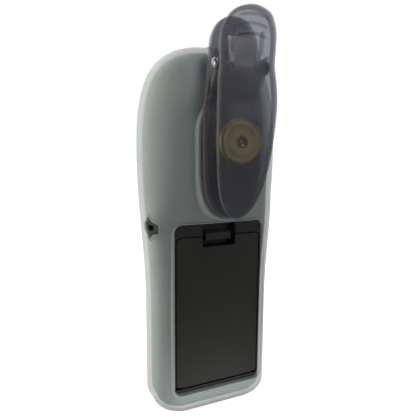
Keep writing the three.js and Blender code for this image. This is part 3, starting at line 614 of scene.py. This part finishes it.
def clip_seat():
    """The raised seat under the clip: a rim hugs the clip's lower part, and flares into the back."""
    points, normals = clip_loop(BASE_SIDE)
    flare = SEAT_RIM.flare
    round_r = (SEAT_RIM.outer - SEAT_RIM.inner) / 2
    rim_base = SEAT_RIM.height + GAP - round_r

    def offset(margin_at):
        return [(x + margin_at(z) * nx, z + margin_at(z) * nz)
                for (x, z), (nx, nz) in zip(points, normals)]

    def rim(z):
        return 1 - rise(z, SEAT_RIM.fade)

    def inner(z):
        return SEAT_RIM.inner - 0.05 - 6.6 * rise(z, SEAT_RIM.narrow)

    def outer(z):
        return SEAT_RIM.outer - 7 * rise(z, SEAT_RIM.narrow)

    def over_rim(share):
        return offset(lambda z: inner(z) + share * (outer(z) - inner(z)))

    def down_side(t):
        return offset(lambda z: outer(z) + flare * t ** 2.2)
    edge, foot = offset(inner), down_side(1)
    rings = []
    for t in (1.0, 0.6, 0.25, 0.0):
        rings.append([(x, seat_face(z), z) for x, z in blend_points(edge, spine(edge, 11), t)])
    for a in arc(0, math.pi, 8):
        up = rim_base + round_r * math.sin(a)
        rings.append([(x, seat_face(z) + rim(z) * up, z) for x, z in over_rim((1 - math.cos(a)) / 2)])
    ground = [back_face(x, z) - 1.0 for x, z in foot]
    for t in [i / 10 for i in range(11)]:
        rings.append([(x, seat_face(z) + (low - seat_face(z)) * t, z)
                      for (x, z), low in zip(down_side(t), ground)])
    rings.append([(x, 0, z) for x, z in foot])
    rings.append([(x, 0, z) for x, z in spine(foot, 14)])
    return meet(skin(rings, caps=False), plate(body_outline(2)(0), 0, FAR))


def window_lip():
    """A rounded bead round the window, which follows the back."""
    profile = [(0, -6), (0, 0.2), (0.1, 0.36), (0.3, 0.45), (0.55, 0.42), (0.85, 0.2), (1.1, -0.1),
               (1.3, -0.5), (1.3, -6)]
    return skin([[(x, back_face(x, z) + out, z) for x, z in subdivided(window_outline(), margin)]
                 for margin, out in profile], loop=True)


def subdivided(outline, margin, longest=4.0):
    """An outline at a margin, with its straight stretches broken up into the same pieces at any margin."""
    base, points = outline(0), outline(margin)
    made = []
    for i, point in enumerate(points):
        j = (i + 1) % len(points)
        made += straight(point, points[j], math.dist(base[i], base[j]), longest)
    return made


def straight(start, end, length, longest):
    """Even steps from a start up to an end, none longer than a given length."""
    count = max(1, math.ceil(length / longest))
    return [tuple(a + (b - a) * k / count for a, b in zip(start, end)) for k in range(count)]


def strap_cross(margin=0.0):
    """The strap cut-out's cross, with blunt arms at the sides and pointed ones up and down, as (y, z)."""
    w, h, notch, end = [size + margin for size in (STRAP.half_w, STRAP.half_h, STRAP.notch, STRAP.end)]
    half = [(w, -end), (w, end), (notch, notch), (0, h), (-notch, notch)]
    other = [(-a, -b) for a, b in half]
    return [(a + STRAP.y, b + STRAP.z) for a, b in half + other]


def strap_lip():
    """A soft raised edge round the strap cut-out."""
    profile = [(-0.05, -4), (-0.05, 0.25), (0.25, 0.45), (0.7, 0.42), (1.2, 0.15), (1.6, -0.3), (1.6, -4)]
    return skin([[(side_face(y, z) + out, y, z) for y, z in subdivided(strap_cross, margin, 0.8)]
                 for margin, out in profile], loop=True)


def make_jacket():
    mouth = [(1.4, FRONT_Y - FAR), (1.4, FRONT_Y - 0.2), (0.9, FRONT_Y + 0.1), (0.4, FRONT_Y + 0.5),
             (0.1, FRONT_Y + 1.0), (0, FRONT_Y + 1.6), (0, FRONT_Y / 2)]
    jacket = join(body(0), clip_seat(), window_lip(), strap_lip())
    cut(jacket,
        body(JACKET_WALL, 0.6),
        stack(body_outline(FRONT_INSET), mouth),
        plate(window_outline()(0), BACK_Y / 2, FAR),
        plate(strap_cross(), HANDLE_HALF / 2, FAR, axis=0),
        bar(RIVET_SHANK_R + GAP, BACK_Y / 2, FAR, (0, RIVET_Z)))
    piece(jacket, "silicone_jacket", "silicone", "case", ["jacket"])


# ---- Housing ----

def strap_pocket(grow, x0, x1):
    """The room behind the strap bar, and with some growth the walls round it."""
    half_y, half_z = 5.2 + grow, 4.6 + grow
    return block(x0, x1, STRAP.y - half_y, STRAP.y + half_y, STRAP.z - half_z, STRAP.z + half_z)


def strap_boss():
    """The cross that fills the jacket's strap cut-out, a little below the jacket's own face."""
    root_x = HANDLE_HALF - 6
    rings = [[(root_x, y, z) for y, z in subdivided(strap_cross, -0.35, 0.8)]]
    for margin, below in ((-0.35, 0.7), (-0.6, 0.45)):
        rings.append([(side_face(y, z) - below, y, z) for y, z in subdivided(strap_cross, margin, 0.8)])
    return skin(rings)


def bay_block(grow, y0, y1):
    """The battery bay's room, and with some growth the walls round it."""
    half = BAY.half + grow
    return block(-half, half, y0, y1, BAY.low - grow, BAY.high + grow)


def door_outline():
    half = DOOR_HIGH.x
    return rounded_rect(-half, half, DOOR_LOW.z, DOOR_HIGH.z, DOOR_R)


def recess_outline(high):
    """The latch's recess, up to a height."""
    return rounded_rect(-RECESS.half, RECESS.half, RECESS.low, high, 0.9, 5)


def make_rear_housing():
    face, back = DOOR_HIGH.y, DOOR_HIGH.y - DOOR_T - 0.9      # the door's face, and the ledge behind it
    island = stack(window_outline(), edge_steps(-DOOR_GAP, 12, face, 0.5))
    ledge_half = DOOR_HIGH.x + 1
    ledge = block(-ledge_half, ledge_half, RECESS.floor - 0.5, face - 1.6,
                  DOOR_LOW.z - 1, RECESS.high + BAY.wall)
    rivet_boss = bar(11.6, 18.2, 21.6, (0, RIVET_Z))
    solid_body = body(SHELL_INSET, 0.7)
    shell = cut(body(SHELL_INSET, 0.7), body(CAVITY_INSET, 0.5))
    join(shell, bay_block(BAY.wall, BAY.floor - BAY.wall, 14), ledge, rivet_boss,
         strap_pocket(STRAP.wall, STRAP.pocket_x - STRAP.wall, HANDLE_HALF),
         *[bar(POST_R, SPLIT_Y, FAR, (x, z)) for x, z, _ in SCREWS])
    meet(shell, solid_body)
    join(shell, island, strap_boss())
    meet(shell, block(-FAR, FAR, SPLIT_Y + GASKET_T / 2 + GAP, FAR, -5, LENGTH))
    mouth = [(0, RECESS.floor), (0, face - 0.5), (0.12, face - 0.2), (0.5, face + 0.1), (0.5, FAR)]
    corner_x = DOOR_HIGH.x + GAP      # room for the door's lower corners as they swing down and out
    tail_x, tail_half = 7.7, 1.8      # the slots that the contacts' tails pass through
    strap_slot = bar(1.1, STRAP.z - 6.2, STRAP.z + 6.2, (span("strap_pin")[0].x + 0.8, STRAP.y),
                     axis=2, sides=16)
    cut(shell,
        plate(door_outline()(DOOR_GAP), back, FAR),
        block(-corner_x, corner_x, back, FAR, DOOR_LOW.z - GAP, DOOR_LOW.z + DOOR_R),
        bay_block(0, BAY.floor, FAR),
        stack(recess_outline(RECESS.high), mouth),
        bar(9.6, 20.6, FAR, (0, RIVET_Z)),
        strap_pocket(0, STRAP.pocket_x, HANDLE_HALF - 2.2),
        strap_pocket(-3.3, STRAP.pocket_x, FAR),
        strap_slot,
        *[bar(SCREW_HEAD_R, seat, FAR, (x, z)) for x, z, seat in SCREWS],
        *[block(side * tail_x - tail_half, side * tail_x + tail_half, -5, 0, BAY.high - 1.6, BAY.high)
          for side in (-1, 1)])
    piece(shell, "rear_shell", "housing", "case", ["rear_housing"])


def panel_holes(gap):
    """The holes in the front panel for the keys and the well."""
    keys = [bar(KEY_R + gap, *THROUGH, (side * KEY_X, KEY_Z), sides=64) for side in (-1, 1)]
    return keys + [bar(WELL_R + gap, *THROUGH, (0, WELL_Z), sides=96)]


def make_front_housing():
    edge_y = SPLIT_Y - GASKET_T / 2 - GAP
    shell = cut(body(SHELL_INSET, 0.7), body(CAVITY_INSET, 0.5))
    meet(shell, block(-FAR, FAR, THROUGH[0], edge_y, -5, LENGTH))
    panel = stack(body_outline(FRONT_INSET + 0.4),
                  edge_steps(0, FRONT_Y + CAVITY_INSET, FRONT_Y + 0.9, 0.3, 3))
    ears, feet = [], []
    for x0, x1 in ((-9, -6), (6, 9)):      # one each side of the cover's knuckle
        ears.append(stack(lambda margin: circle(2 + margin, (COVER_Y, COVER_Z), 32),
                          [(-0.4, x0), (0, x0 + 0.4), (0, x1 - 0.4), (-0.4, x1)], axis=0))
        feet.append(block(x0 + 0.2, x1 - 0.2, COVER_Y, FRONT_Y + 2, COVER_Z - 2, COVER_Z + 2))
    join(shell, panel, *ears, *feet, *[bar(POST_R, FRONT_Y + 4.5, edge_y, (x, z)) for x, z, _ in SCREWS])
    cut(shell,
        *[bar(SCREW_HOLE_R, FRONT_Y + 7.3, 0, (x, z), sides=16) for x, z, _ in SCREWS],
        *panel_holes(GAP),
        bar(COVER_HOLE_R, -8.2, 8.2, (COVER_Y, COVER_Z), axis=0, sides=24),
        block(-DISPLAY.half, DISPLAY.half, *THROUGH, DISPLAY.low, DISPLAY.high))
    piece(shell, "front_shell", "housing", "case", ["front_housing"])


def make_strap_pin():
    low, high = span("strap_pin")
    pin = bar(0.8, low.z, high.z, centre_xy(low, high), axis=2, edge=0.2)
    piece(pin, "strap_bar", "steel", "case", ["strap_pin"])


# ---- Battery door and latch ----

def make_door():
    """A leaf with a round lower edge that it turns on, a bite for the latch, and two ribs inside."""
    face, back = DOOR_HIGH.y, DOOR_HIGH.y - DOOR_T
    hinge_z, hinge_x = DOOR_LOW.z + DOOR_T / 2, DOOR_HIGH.x - DOOR_R
    leaf = stack(door_outline(), edge_steps(0, back, face, 0.45))
    cut(leaf, block(-FAR, FAR, 0, FAR, 0, hinge_z),
        stack(recess_outline(LENGTH), [(0, 0), (0, face - 0.3), (0.3, face + 0.02), (0.3, FAR)]))
    hinge = bar(DOOR_T / 2, -hinge_x, hinge_x, (face - DOOR_T / 2, hinge_z), axis=0, edge=0.2)
    ribs = [block(x - 0.6, x + 0.6, back - 0.6, back + 0.5, 28, 82) for x in (-9, 9)]
    join(leaf, hinge, *ribs)
    piece(leaf, "door_leaf", "door", "door", ["battery_door"])


def make_latch():
    """A finger tab in front of an upright web, with a small thumb nib under it."""
    low, high = span("door_latch")
    t, tab_low, tab_high = 0.9, high.z - 4.4, high.z - 0.5
    profile = [(low.y, high.z), (low.y, low.z), (low.y + t, low.z), (low.y + t, tab_low), (high.y, tab_low),
               (high.y, tab_high), (high.y - t, tab_high), (low.y + t, tab_high - t), (low.y + t, high.z)]
    tab = plate(profile, low.x, high.x, axis=0)
    piece(bevel(tab, 0.22), "latch_tab", "door", "latch", ["door_latch"])


# ---- Battery bay ----

def make_cell(index):
    """A cell with a rolled lower edge, a crimped shoulder and a nub. The second one stands nub up."""
    low, high = span(f"battery_{index}")
    r, half, middle = (high.x - low.x) / 2, (high.z - low.z) / 2, (high.z + low.z) / 2
    up = 1 if index == 2 else -1
    profile = [(0, -half), (r - 0.9, -half), (r - 0.3, -half + 0.15), (r, -half + 0.6), (r, half - 1.9),
               (r - 0.2, half - 1.55), (r - 0.8, half - 1.4), (3.2, half - 1.4), (2.8, half - 1.3),
               (2.75, half - 0.3), (2.4, half), (0, half)]
    centre = centre_xy(low, high)
    rings = [[(*p, middle + up * z) for p in circle(radius, centre, 64)] for radius, z in profile]
    piece(skin(rings, caps=False), f"cell_{index}", "cell", "case", [f"battery_{index}"])


def make_contact_spring(index):
    """A coil of wire that leans on a cell's flat end."""
    low, high = span(f"battery_spring_{index}")
    centre = Vector((*centre_xy(low, high), 0))
    wire, turns, steps, sides = 0.35, 2.5, 96, 10
    radius = (high.x - low.x) / 2 - wire
    rise_by = high.z - low.z - 2 * wire
    rings = []
    for i in range(steps + 1):
        a = 2 * math.pi * turns * i / steps
        out = Vector((math.cos(a), math.sin(a), 0))
        spot = centre + out * radius + Vector((0, 0, low.z + wire + rise_by * i / steps))
        rings.append([spot + wire * (out * math.cos(b) + Vector((0, 0, math.sin(b))))
                      for b in full_turn(sides)])
    piece(skin(rings), f"contact_coil_{index}", "tin", "case", [f"battery_spring_{index}"])


# ---- Front panel ----

def front_turned(profile, centre, sides=128):
    """A turned piece from (radius, y) pairs whose y is measured from the jacket's front face."""
    return turned([(r, FRONT_Y + y) for r, y in profile], centre, sides)


def make_key(side, name, body_name):
    """A domed cap with a finger dish, and a flange that keeps it behind the panel."""
    profile = [(0, -0.75), (2.2, -0.85), (3.8, -1.12), (4.6, -1.2), (5.3, -1.1), (5.9, -0.75), (6.3, -0.2),
               (KEY_R, 0.5), (KEY_R, 5.6), (7.5, 5.6), (7.5, 6.4), (0, 6.4)]
    cap = front_turned(profile, (side * KEY_X, KEY_Z), 64)
    piece(cap, f"keycap_{name}", "key", body_name, [f"key_{name}"])


def make_overlay():
    low, high = span("front_overlay")
    sheet = stack(body_outline(FRONT_INSET + 1.4), edge_steps(0, high.y, low.y, 0.15, 3))
    half = DISPLAY.half - 1
    screen = rounded_rect(-half, half, DISPLAY.low + 1, DISPLAY.high - 1, 1.2, 6)
    cut(sheet,
        *panel_holes(2 * GAP),
        plate(screen(0), *THROUGH),
        block(-14, 14, *THROUGH, WELL_Z + 18, LENGTH + FAR))
    piece(sheet, "panel_film", "film", "case", ["front_overlay"])


def make_display():
    low, high = span("display_window")
    pane = stack(rounded_rect(low.x, high.x, low.z, high.z, 0.8, 5), edge_steps(0, high.y, low.y, 0.2, 3))
    piece(pane, "display_pane", "glass", "case", ["display_window"])


# ---- Sample well and its cover ----

def make_well():
    """A shallow steel dish with a rolled rim, and a hole in its middle for the prism."""
    r, hole = WELL_R, WELL_HOLE_R
    profile = [(hole, 3.6), (7, 3.42), (9, 3.12), (11, 2.7), (13, 2.1), (15, 1.3), (16.6, 0.5),
               (17.6, -0.15), (18.1, -0.48), (18.5, -0.6), (18.85, -0.5), (r, -0.2), (r, 5.4), (r - 1, 5.4),
               (r - 1, 1), (15.3, 2.1), (12, 3.5), (8, 4.3), (hole, 4.6), (hole, 3.6)]
    dish = front_turned(profile, (0, WELL_Z))
    piece(dish, "well_dish", "well_steel", "case", ["sample_well"])


def make_cover():
    """A domed, hollow lid with a nib to lift it by, and an arm to its hinge."""
    r = COVER_R
    dome = [(0, -4.6), (6, -4.53), (12, -4.3), (15, -3.98), (17.4, -3.6), (19, -3.05), (19.8, -2.6),
            (r, -2.1), (r, -1.05), (r - 0.15, -0.9), (0, -0.9)]
    hollow = [(0, -3.2), (8, -3.1), (12, -2.9), (15, -2.5), (16.4, -2.2), (17.2, -1.7), (17.4, -1.4),
              (17.4, 0), (0, 0)]
    nib = stack(rounded_rect(-5, 5, WELL_Z - r - 2, WELL_Z + 1.5 - r, 1.2, 5),
                [(-0.3, FRONT_Y - 3), (0, FRONT_Y - 2.7), (0, FRONT_Y - 1.1), (-0.2, FRONT_Y - 0.9)])
    knuckle = bar(1.5, -5.6, 5.6, (COVER_Y, COVER_Z), axis=0, edge=0.3)
    arm = block(-5.5, 5.5, FRONT_Y - 3.85, FRONT_Y - 1.1, WELL_Z + r - 2, COVER_Z)
    cover = cut(front_turned(dome, (0, WELL_Z)), front_turned(hollow, (0, WELL_Z)))
    join(cover, nib, knuckle, arm)
    cut(cover, bar(COVER_HOLE_R, -9, 9, (COVER_Y, COVER_Z), axis=0, sides=24))
    piece(cover, "cover_lid", "housing", "cover", ["well_cover"])


def make_cover_pin():
    low, high = span("cover_hinge_pin")
    pin = bar(COVER_PIN_R, low.x, high.x, (COVER_Y, COVER_Z), axis=0, edge=0.2)
    piece(pin, "cover_pin", "steel", "case", ["cover_hinge_pin"])


# ---- Belt clip ----

def pin_hole():
    return bar(PIN_HOLE_R, -FAR, FAR, (PIN_Y, PIN_Z), axis=0, sides=48)


def make_clip_base():
    """A tray with a floor and a rim, and two ears that carry the pin."""
    outline = clip_outline(BASE_SIDE)
    centre = spine(outline(0), 12)
    low, high, floor = CLIP_Y, CLIP_RIM_Y, CLIP_Y + CLIP_FLOOR
    outside = [(-0.5, low), (-0.15, low + 0.15), (0, low + 0.5), (0, high - 0.55), (-0.16, high - 0.16),
               (-0.55, high)]
    inside = [(0.35, high), (0.1, high - 0.1), (0, high - 0.35), (-0.1, floor + 0.6), (-0.3, floor + 0.18),
              (-0.7, floor)]
    rings = [[(x, low, z) for x, z in centre]]
    rings += [[(x, y, z) for x, z in outline(margin)] for margin, y in outside]
    for margin, y in inside:
        rings.append([(x, y, min(z, CLIP_WALL_TOP + margin)) for x, z in outline(margin - CLIP_WALL)])
    rings.append([(0.0, floor, min(z, CLIP_WALL_TOP - 4)) for _, z in centre])
    tray = skin(rings, caps=False)
    round_pin = [(0.6, -3.4), (2, -2), (2.8, 0), (2.2, 1.8), (0.4, 2.75), (-2.6, 2)]
    cheek = [(PIN_Y + y, PIN_Z + z) for y, z in round_pin]
    cheek = [(high - 1, PIN_Z - 13.6)] + cheek + [(high - 1, PIN_Z + 9.4)]
    ears = [bevel(plate(cheek, x, x + TABS.t, axis=0), 0.3, 3, 50)
            for x in (-TABS.ear - TABS.t, TABS.ear)]
    join(tray, *ears)
    cut(tray, pin_hole(), bar(RIVET_SHANK_R + GAP, 20, 40, (0, RIVET_Z)))
    piece(tray, "clip_plate", "smoke", "case", ["clip_base"], angle=40)


def lever_lug(x):
    """A plate from the lever's inside, with a round end about the pin."""
    r, root_y = TABS.lug_r, 43       # the root is inside the lever's skin
    edge = points_round((PIN_Y, PIN_Z), r, arc(math.pi / 2, math.pi, 16))
    edge += [(root_y, PIN_Z - r - 1.5), (root_y, PIN_Z + r + 1.5)]
    return bevel(plate(edge, x, x + TABS.t, axis=0), 0.25, 2, 50)


def make_lever():
    """A bowed skin with rounded shoulders, shallow side walls, and two lugs that reach back to the pin."""
    outline = clip_outline(LEVER_SIDE)
    skin_t, wall, shoulder = LEVER.skin, LEVER.wall, LEVER.shoulder

    def depth(z):
        return LEVER.tip_depth + (LEVER.depth - LEVER.tip_depth) * rise(z, LEVER.deepens)

    def level(margin, drop, t=0.0):
        edge = outline(margin)
        points = blend_points(edge, spine(edge, 10), t) if t else edge
        return [(x, lever_face_y(z) - LEVER.crown * (x / 14) ** 2 - drop(z), z) for x, z in points]

    def on_shoulder(a):
        return level(-shoulder * (1 - math.sin(a)),
                     lambda z: min(shoulder, depth(z) - 0.9) * (1 - math.cos(a)))
    rings = [level(-shoulder, lambda z: 0.0, t) for t in (1.0, 0.8, 0.6, 0.4, 0.2)]
    rings += [on_shoulder(a) for a in quarter(7)]
    for margin, above in ((0, 0.3), (-0.1, 0.08), (-0.35, 0), (-wall + 0.3, 0), (-wall + 0.05, 0.12)):
        rings.append(level(margin, lambda z, above=above: depth(z) - above))
    rings.append(level(-wall, lambda z: max(depth(z) - 0.4, skin_t + 0.2)))
    rings += [level(-wall - 0.35, lambda z: skin_t, t) for t in (0.0, 0.2, 0.5, 0.8, 1.0)]
    lever = skin(rings, caps=False)
    lugs = [lever_lug(x) for x in (-TABS.lug - TABS.t, TABS.lug)]
    grips = [grip_ridge(z) for z in LEVER.grips]
    join(lever, *lugs, *grips, *[tab_rib(side * LEVER.rib_x) for side in (-1, 1)])
    cut(lever, pin_hole())
    shell = piece(lever, "clip_lever_shell", "smoke", "lever", ["clip_lever"], angle=40)
    shell.visible_shadow = False      # lamps reach the rivet and the spring through the clear lever


def grip_ridge(top_z):
    """One curved finger ridge across the lever's tab, with a rounded back."""
    r, spread, steps = 22, 0.36, 24
    section = [(0.75 * math.cos(b), 1.1 * math.sin(b)) for b in full_turn(12)]
    rings = []
    for i in range(steps + 1):
        a = math.pi / 2 - spread + 2 * spread * i / steps
        fade = math.sqrt(max(1 - (2 * i / steps - 1) ** 8, 0.02))
        ring = []
        for along, out in section:
            radius = r - 0.45 + along * fade
            x, z = radius * math.cos(a), top_z - r + radius * math.sin(a)
            ring.append((x, lever_face_y(z) - 0.5 * (x / 14) ** 2 + out * fade, z))
        rings.append(ring)
    return skin(rings)


def tab_rib(x):
    """An upright rib on the inside of the lever's tab, with round ends."""
    outline = rounded_rect(x - 0.9, x + 0.9, *LEVER.ribs, 0.9, 6)
    steps = [(-0.35, 1.3), (-0.1, 1.2), (0, 0.95), (0, -0.4)]
    return skin([[(x, lever_face_y(z) - LEVER.skin - deep, z) for x, z in subdivided(outline, margin, 1.5)]
                 for margin, deep in steps])


def make_clip_pin():
    """A steel pin with a domed head outside each ear."""
    near, head_r, head = TABS.ear + TABS.t + 0.08, 2.6, 1.7
    dome = [(head_r * math.cos(a), near + 0.25 + (head - 0.25) * math.sin(a)) for a in quarter(8)]
    half = [(PIN_R, near), (head_r - 0.1, near), (head_r, near + 0.1)] + dome
    steps = [(r, -x) for r, x in reversed(half)] + half
    rings = [[lift(p, x, 0) for p in circle(r, (PIN_Y, PIN_Z))] for r, x in steps]
    piece(skin(rings, caps=False), "clip_hinge_pin", "steel", "case", ["clip_pin"])


def make_leaf_spring():
    """A flat strip bent round the pin, with a leg up each tab."""
    r, t, half, leg_z = 2.3, 0.5, 4.6, PIN_Z + 13.4
    bend = r + t / 2
    centre = [(span("clip_spring")[0].y + t / 2, leg_z), (PIN_Y - r - t / 2, PIN_Z + 2)]
    centre += points_round((PIN_Y, PIN_Z), bend, arc(math.pi, math.pi, 24)[1:-1])
    centre += [(PIN_Y + r + t / 2, PIN_Z + 2), (PIN_Y + r + t / 2 - 0.3, leg_z - 2)]
    path = []
    for start, end in zip(centre, centre[1:]):
        path += straight(start, end, math.dist(start, end), 0.8)
    path.append(centre[-1])
    side, face = half - 0.1, t / 2 - 0.1
    section = [(-half, -face), (-side, -t / 2), (side, -t / 2), (half, -face),
               (half, face), (side, t / 2), (-side, t / 2), (-half, face)]
    rings = []
    for i, (y, z) in enumerate(path):
        before, after = path[max(i - 1, 0)], path[min(i + 1, len(path) - 1)]
        along = Vector((after[0] - before[0], after[1] - before[1])).normalized()
        out = Vector((-along.y, along.x))
        rings.append([(x, y + out.x * d, z + out.y * d) for x, d in section])
    strip = piece(skin(rings), "leaf_spring", "spring", None, ["clip_spring"])
    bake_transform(strip)


def make_rivet():
    """A wide flat cap with a rolled rim and a punched dimple, on a hub, with a spread tail behind."""
    r, shank, top, tail = RIVET_R, RIVET_SHANK_R, RIVET_HIGH.y, RIVET_LOW.y
    seat = CLIP_Y + CLIP_FLOOR + GAP
    spread = [(0, 0), (3.8, 0), (4, 0.2), (4, 0.55), (3.8, 0.7), (shank, 0.7)]
    head = [(5.4, -3.4), (6.2, -2.6), (r - 1, -2.3), (r - 0.3, -2.1), (r, -1.7), (r, -1.1),
            (r - 0.25, -0.6), (r - 0.8, -0.28), (r - 1.6, -0.15), (8.4, -0.22), (8, -0.3), (7.6, -0.24),
            (6.5, -0.1), (4.2, 0), (2.8, -0.02), (2.2, -0.2), (1.7, -0.65), (1, -0.95), (0, -1.05)]
    profile = [(x, tail + y) for x, y in spread]
    profile += [(shank, seat), (5.2, seat), (5.4, seat + 0.3)]
    profile += [(x, top + y) for x, y in head]
    cap = turned(profile, (0, RIVET_Z))
    piece(cap, "rivet_head", "brass", "case", ["clip_rivet"])


# ---- CAD nodes that keep their own mesh ----
KEPT = {
    "seal": ["housing_gasket", "door_gasket", "well_seal", "optical_block", "thermistor"],
    "tin": ["contact_bridge", "contact_positive", "contact_negative", "switch_left", "switch_right"],
    "board": ["main_pcb", "led_board", "detector_board"],
    "glass": ["prism", "lens", "led"],
    "steel": ["mirror"] + [f"housing_screw_{index}" for index in (1, 2, 3, 4)],
    "brass": ["rivet_washer"],
    "lcd": ["lcd_module"],
    "film": ["ribbon_cable"],
}


def finish_kept_nodes():
    """Gives the kept CAD meshes their materials."""
    for finish, names in KEPT.items():
        for obj in [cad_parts[name] for name in names]:
            if not obj.material_slots:
                obj.data.materials.append(FINISH[finish])
            for slot in obj.material_slots:
                slot.material = FINISH[finish]


# ---- Studio, in metres ----
FLOOR_SIZE = 8
DIM_SIDE = Vector((0.35, 0.93, 0.1)).normalized()
DIM_FROM, DIM_TO = -0.6, 0.1     # how squarely a direction faces that side where dimming starts and ends
TENT, DIM = 1.05, 0.033          # the tent's brightness, and its dim side's

# Name, location, target, size, watts, colour and whether it shows in gloss. Left is the camera's left.
WHITE, SOFT, WARM = (1, 1, 1), (1, 0.97, 0.9), (1, 0.95, 0.85)
LAMPS = [
    ("left_wall", (0.55, -0.5, 0.2), (0, 0, 0.1), (0.7, 0.7), 6.6, WARM, False),
    ("side_fill", (0.6, -0.06, 0.2), (0, 0, 0.12), (0.3, 0.4), 0.75, SOFT, True),
    ("top_fill", (-0.005, 0.092, 0.26), (0, 0.045, 0.185), (0.04, 0.03), 0.045, WHITE, True),
    ("right_wall", (-0.6, -0.3, 0.2), (0, 0, 0.1), (0.7, 0.7), 2, WARM, False),
    ("floor_glow", (0, 0.042, 0.001), (0, 0.042, 1), (0.08, 0.03), 0.022, WHITE, False),
    ("back_fill", (-0.293, 0.563, 0.145), (0, 0.04, 0.14), (0.1, 0.1), 0.19, WHITE, True),
]
CAMERA = Sizes(location=Vector((96.8, 208.2, 138.4)) * MM, target=Vector((7.2, 18.0, 109.2)) * MM,
               roll=0.42, lens=37.2)      # roll in degrees, lens in millimetres


def make_floor():
    """A pale floor that the camera sees as white."""
    bpy.ops.mesh.primitive_plane_add(size=FLOOR_SIZE, location=(0, 0, 0))
    floor = bpy.context.object
    floor.name = "floor"
    paint = material("floor_paint", (0.35, 0.35, 0.35), 0.9, vary=0.005, bump=0,
                     Emission_Color=(1, 1, 1, 1))
    nodes, links = tree(paint)
    ray = nodes.new("ShaderNodeLightPath")
    links.new(ray.outputs["Is Camera Ray"], nodes["Principled BSDF"].inputs["Emission Strength"])
    floor.data.materials.append(paint)


def make_world():
    """A white tent round the object, dim on the side that its back faces. The camera sees it as white."""
    world = bpy.data.worlds.new("studio")
    bpy.context.scene.world = world
    world.use_nodes = True
    nodes, links = tree(world)
    background = fill(nodes["Background"], Color=(1, 1, 1, 1))
    place = nodes.new("ShaderNodeTexCoord")
    facing = nodes.new("ShaderNodeVectorMath")
    facing.operation = "DOT_PRODUCT"
    facing.inputs[1].default_value = DIM_SIDE
    tent = fill(nodes.new("ShaderNodeMapRange"),
                From_Min=DIM_FROM, From_Max=DIM_TO, To_Min=TENT, To_Max=DIM)
    tent.interpolation_type = "SMOOTHSTEP"
    ray = nodes.new("ShaderNodeLightPath")
    level = fill(nodes.new("ShaderNodeMix"), B=1)
    links.new(place.outputs["Generated"], facing.inputs[0])
    links.new(facing.outputs["Value"], tent.inputs["Value"])
    links.new(ray.outputs["Is Camera Ray"], level.inputs["Factor"])
    links.new(tent.outputs["Result"], level.inputs["A"])
    links.new(level.outputs["Result"], background.inputs["Strength"])


def area_light(name, location, target, size, power, colour, in_gloss):
    """A soft rectangular lamp that the camera doesn't see."""
    data = bpy.data.lights.new(name, "AREA")
    data.shape = "RECTANGLE"
    data.size, data.size_y = size
    data.energy = power
    data.color = colour
    light = add_object(name, data)
    light.location = location
    light.visible_camera = False
    light.visible_glossy = in_gloss
    aim = Vector(target) - Vector(location)
    light.rotation_euler = aim.to_track_quat("-Z", "Y").to_euler()


def make_camera():
    """Behind and to the right of the instrument, a little above its middle."""
    location, roll = CAMERA.location, math.radians(CAMERA.roll)
    forward = (CAMERA.target - location).normalized()
    right = forward.cross(Vector((0, 0, 1))).normalized()
    up = right.cross(forward)
    across = right * math.cos(roll) + up * math.sin(roll)
    upward = up * math.cos(roll) - right * math.sin(roll)
    data = bpy.data.cameras.new("camera")
    data.sensor_width = 36
    data.lens = CAMERA.lens
    data.clip_start = 0.01
    camera = add_object("camera", data)
    turn = Matrix((across, upward, -forward)).transposed().to_4x4()
    camera.matrix_world = Matrix.Translation(location) @ turn
    bpy.context.scene.camera = camera


def build():
    bpy.context.scene.view_settings.view_transform = "Standard"
    make_camera()
    make_world()
    make_floor()
    for lamp in LAMPS:
        area_light(*lamp)
    make_jacket()
    make_rear_housing()
    make_front_housing()
    make_strap_pin()
    make_door()
    make_latch()
    for index in (1, 2):
        make_cell(index)
        make_contact_spring(index)
    make_key(-1, "left", "left_key")
    make_key(1, "right", "right_key")
    make_overlay()
    make_display()
    make_well()
    make_cover()
    make_cover_pin()
    make_clip_base()
    make_lever()
    make_clip_pin()
    make_leaf_spring()
    make_rivet()
    finish_kept_nodes()


build()
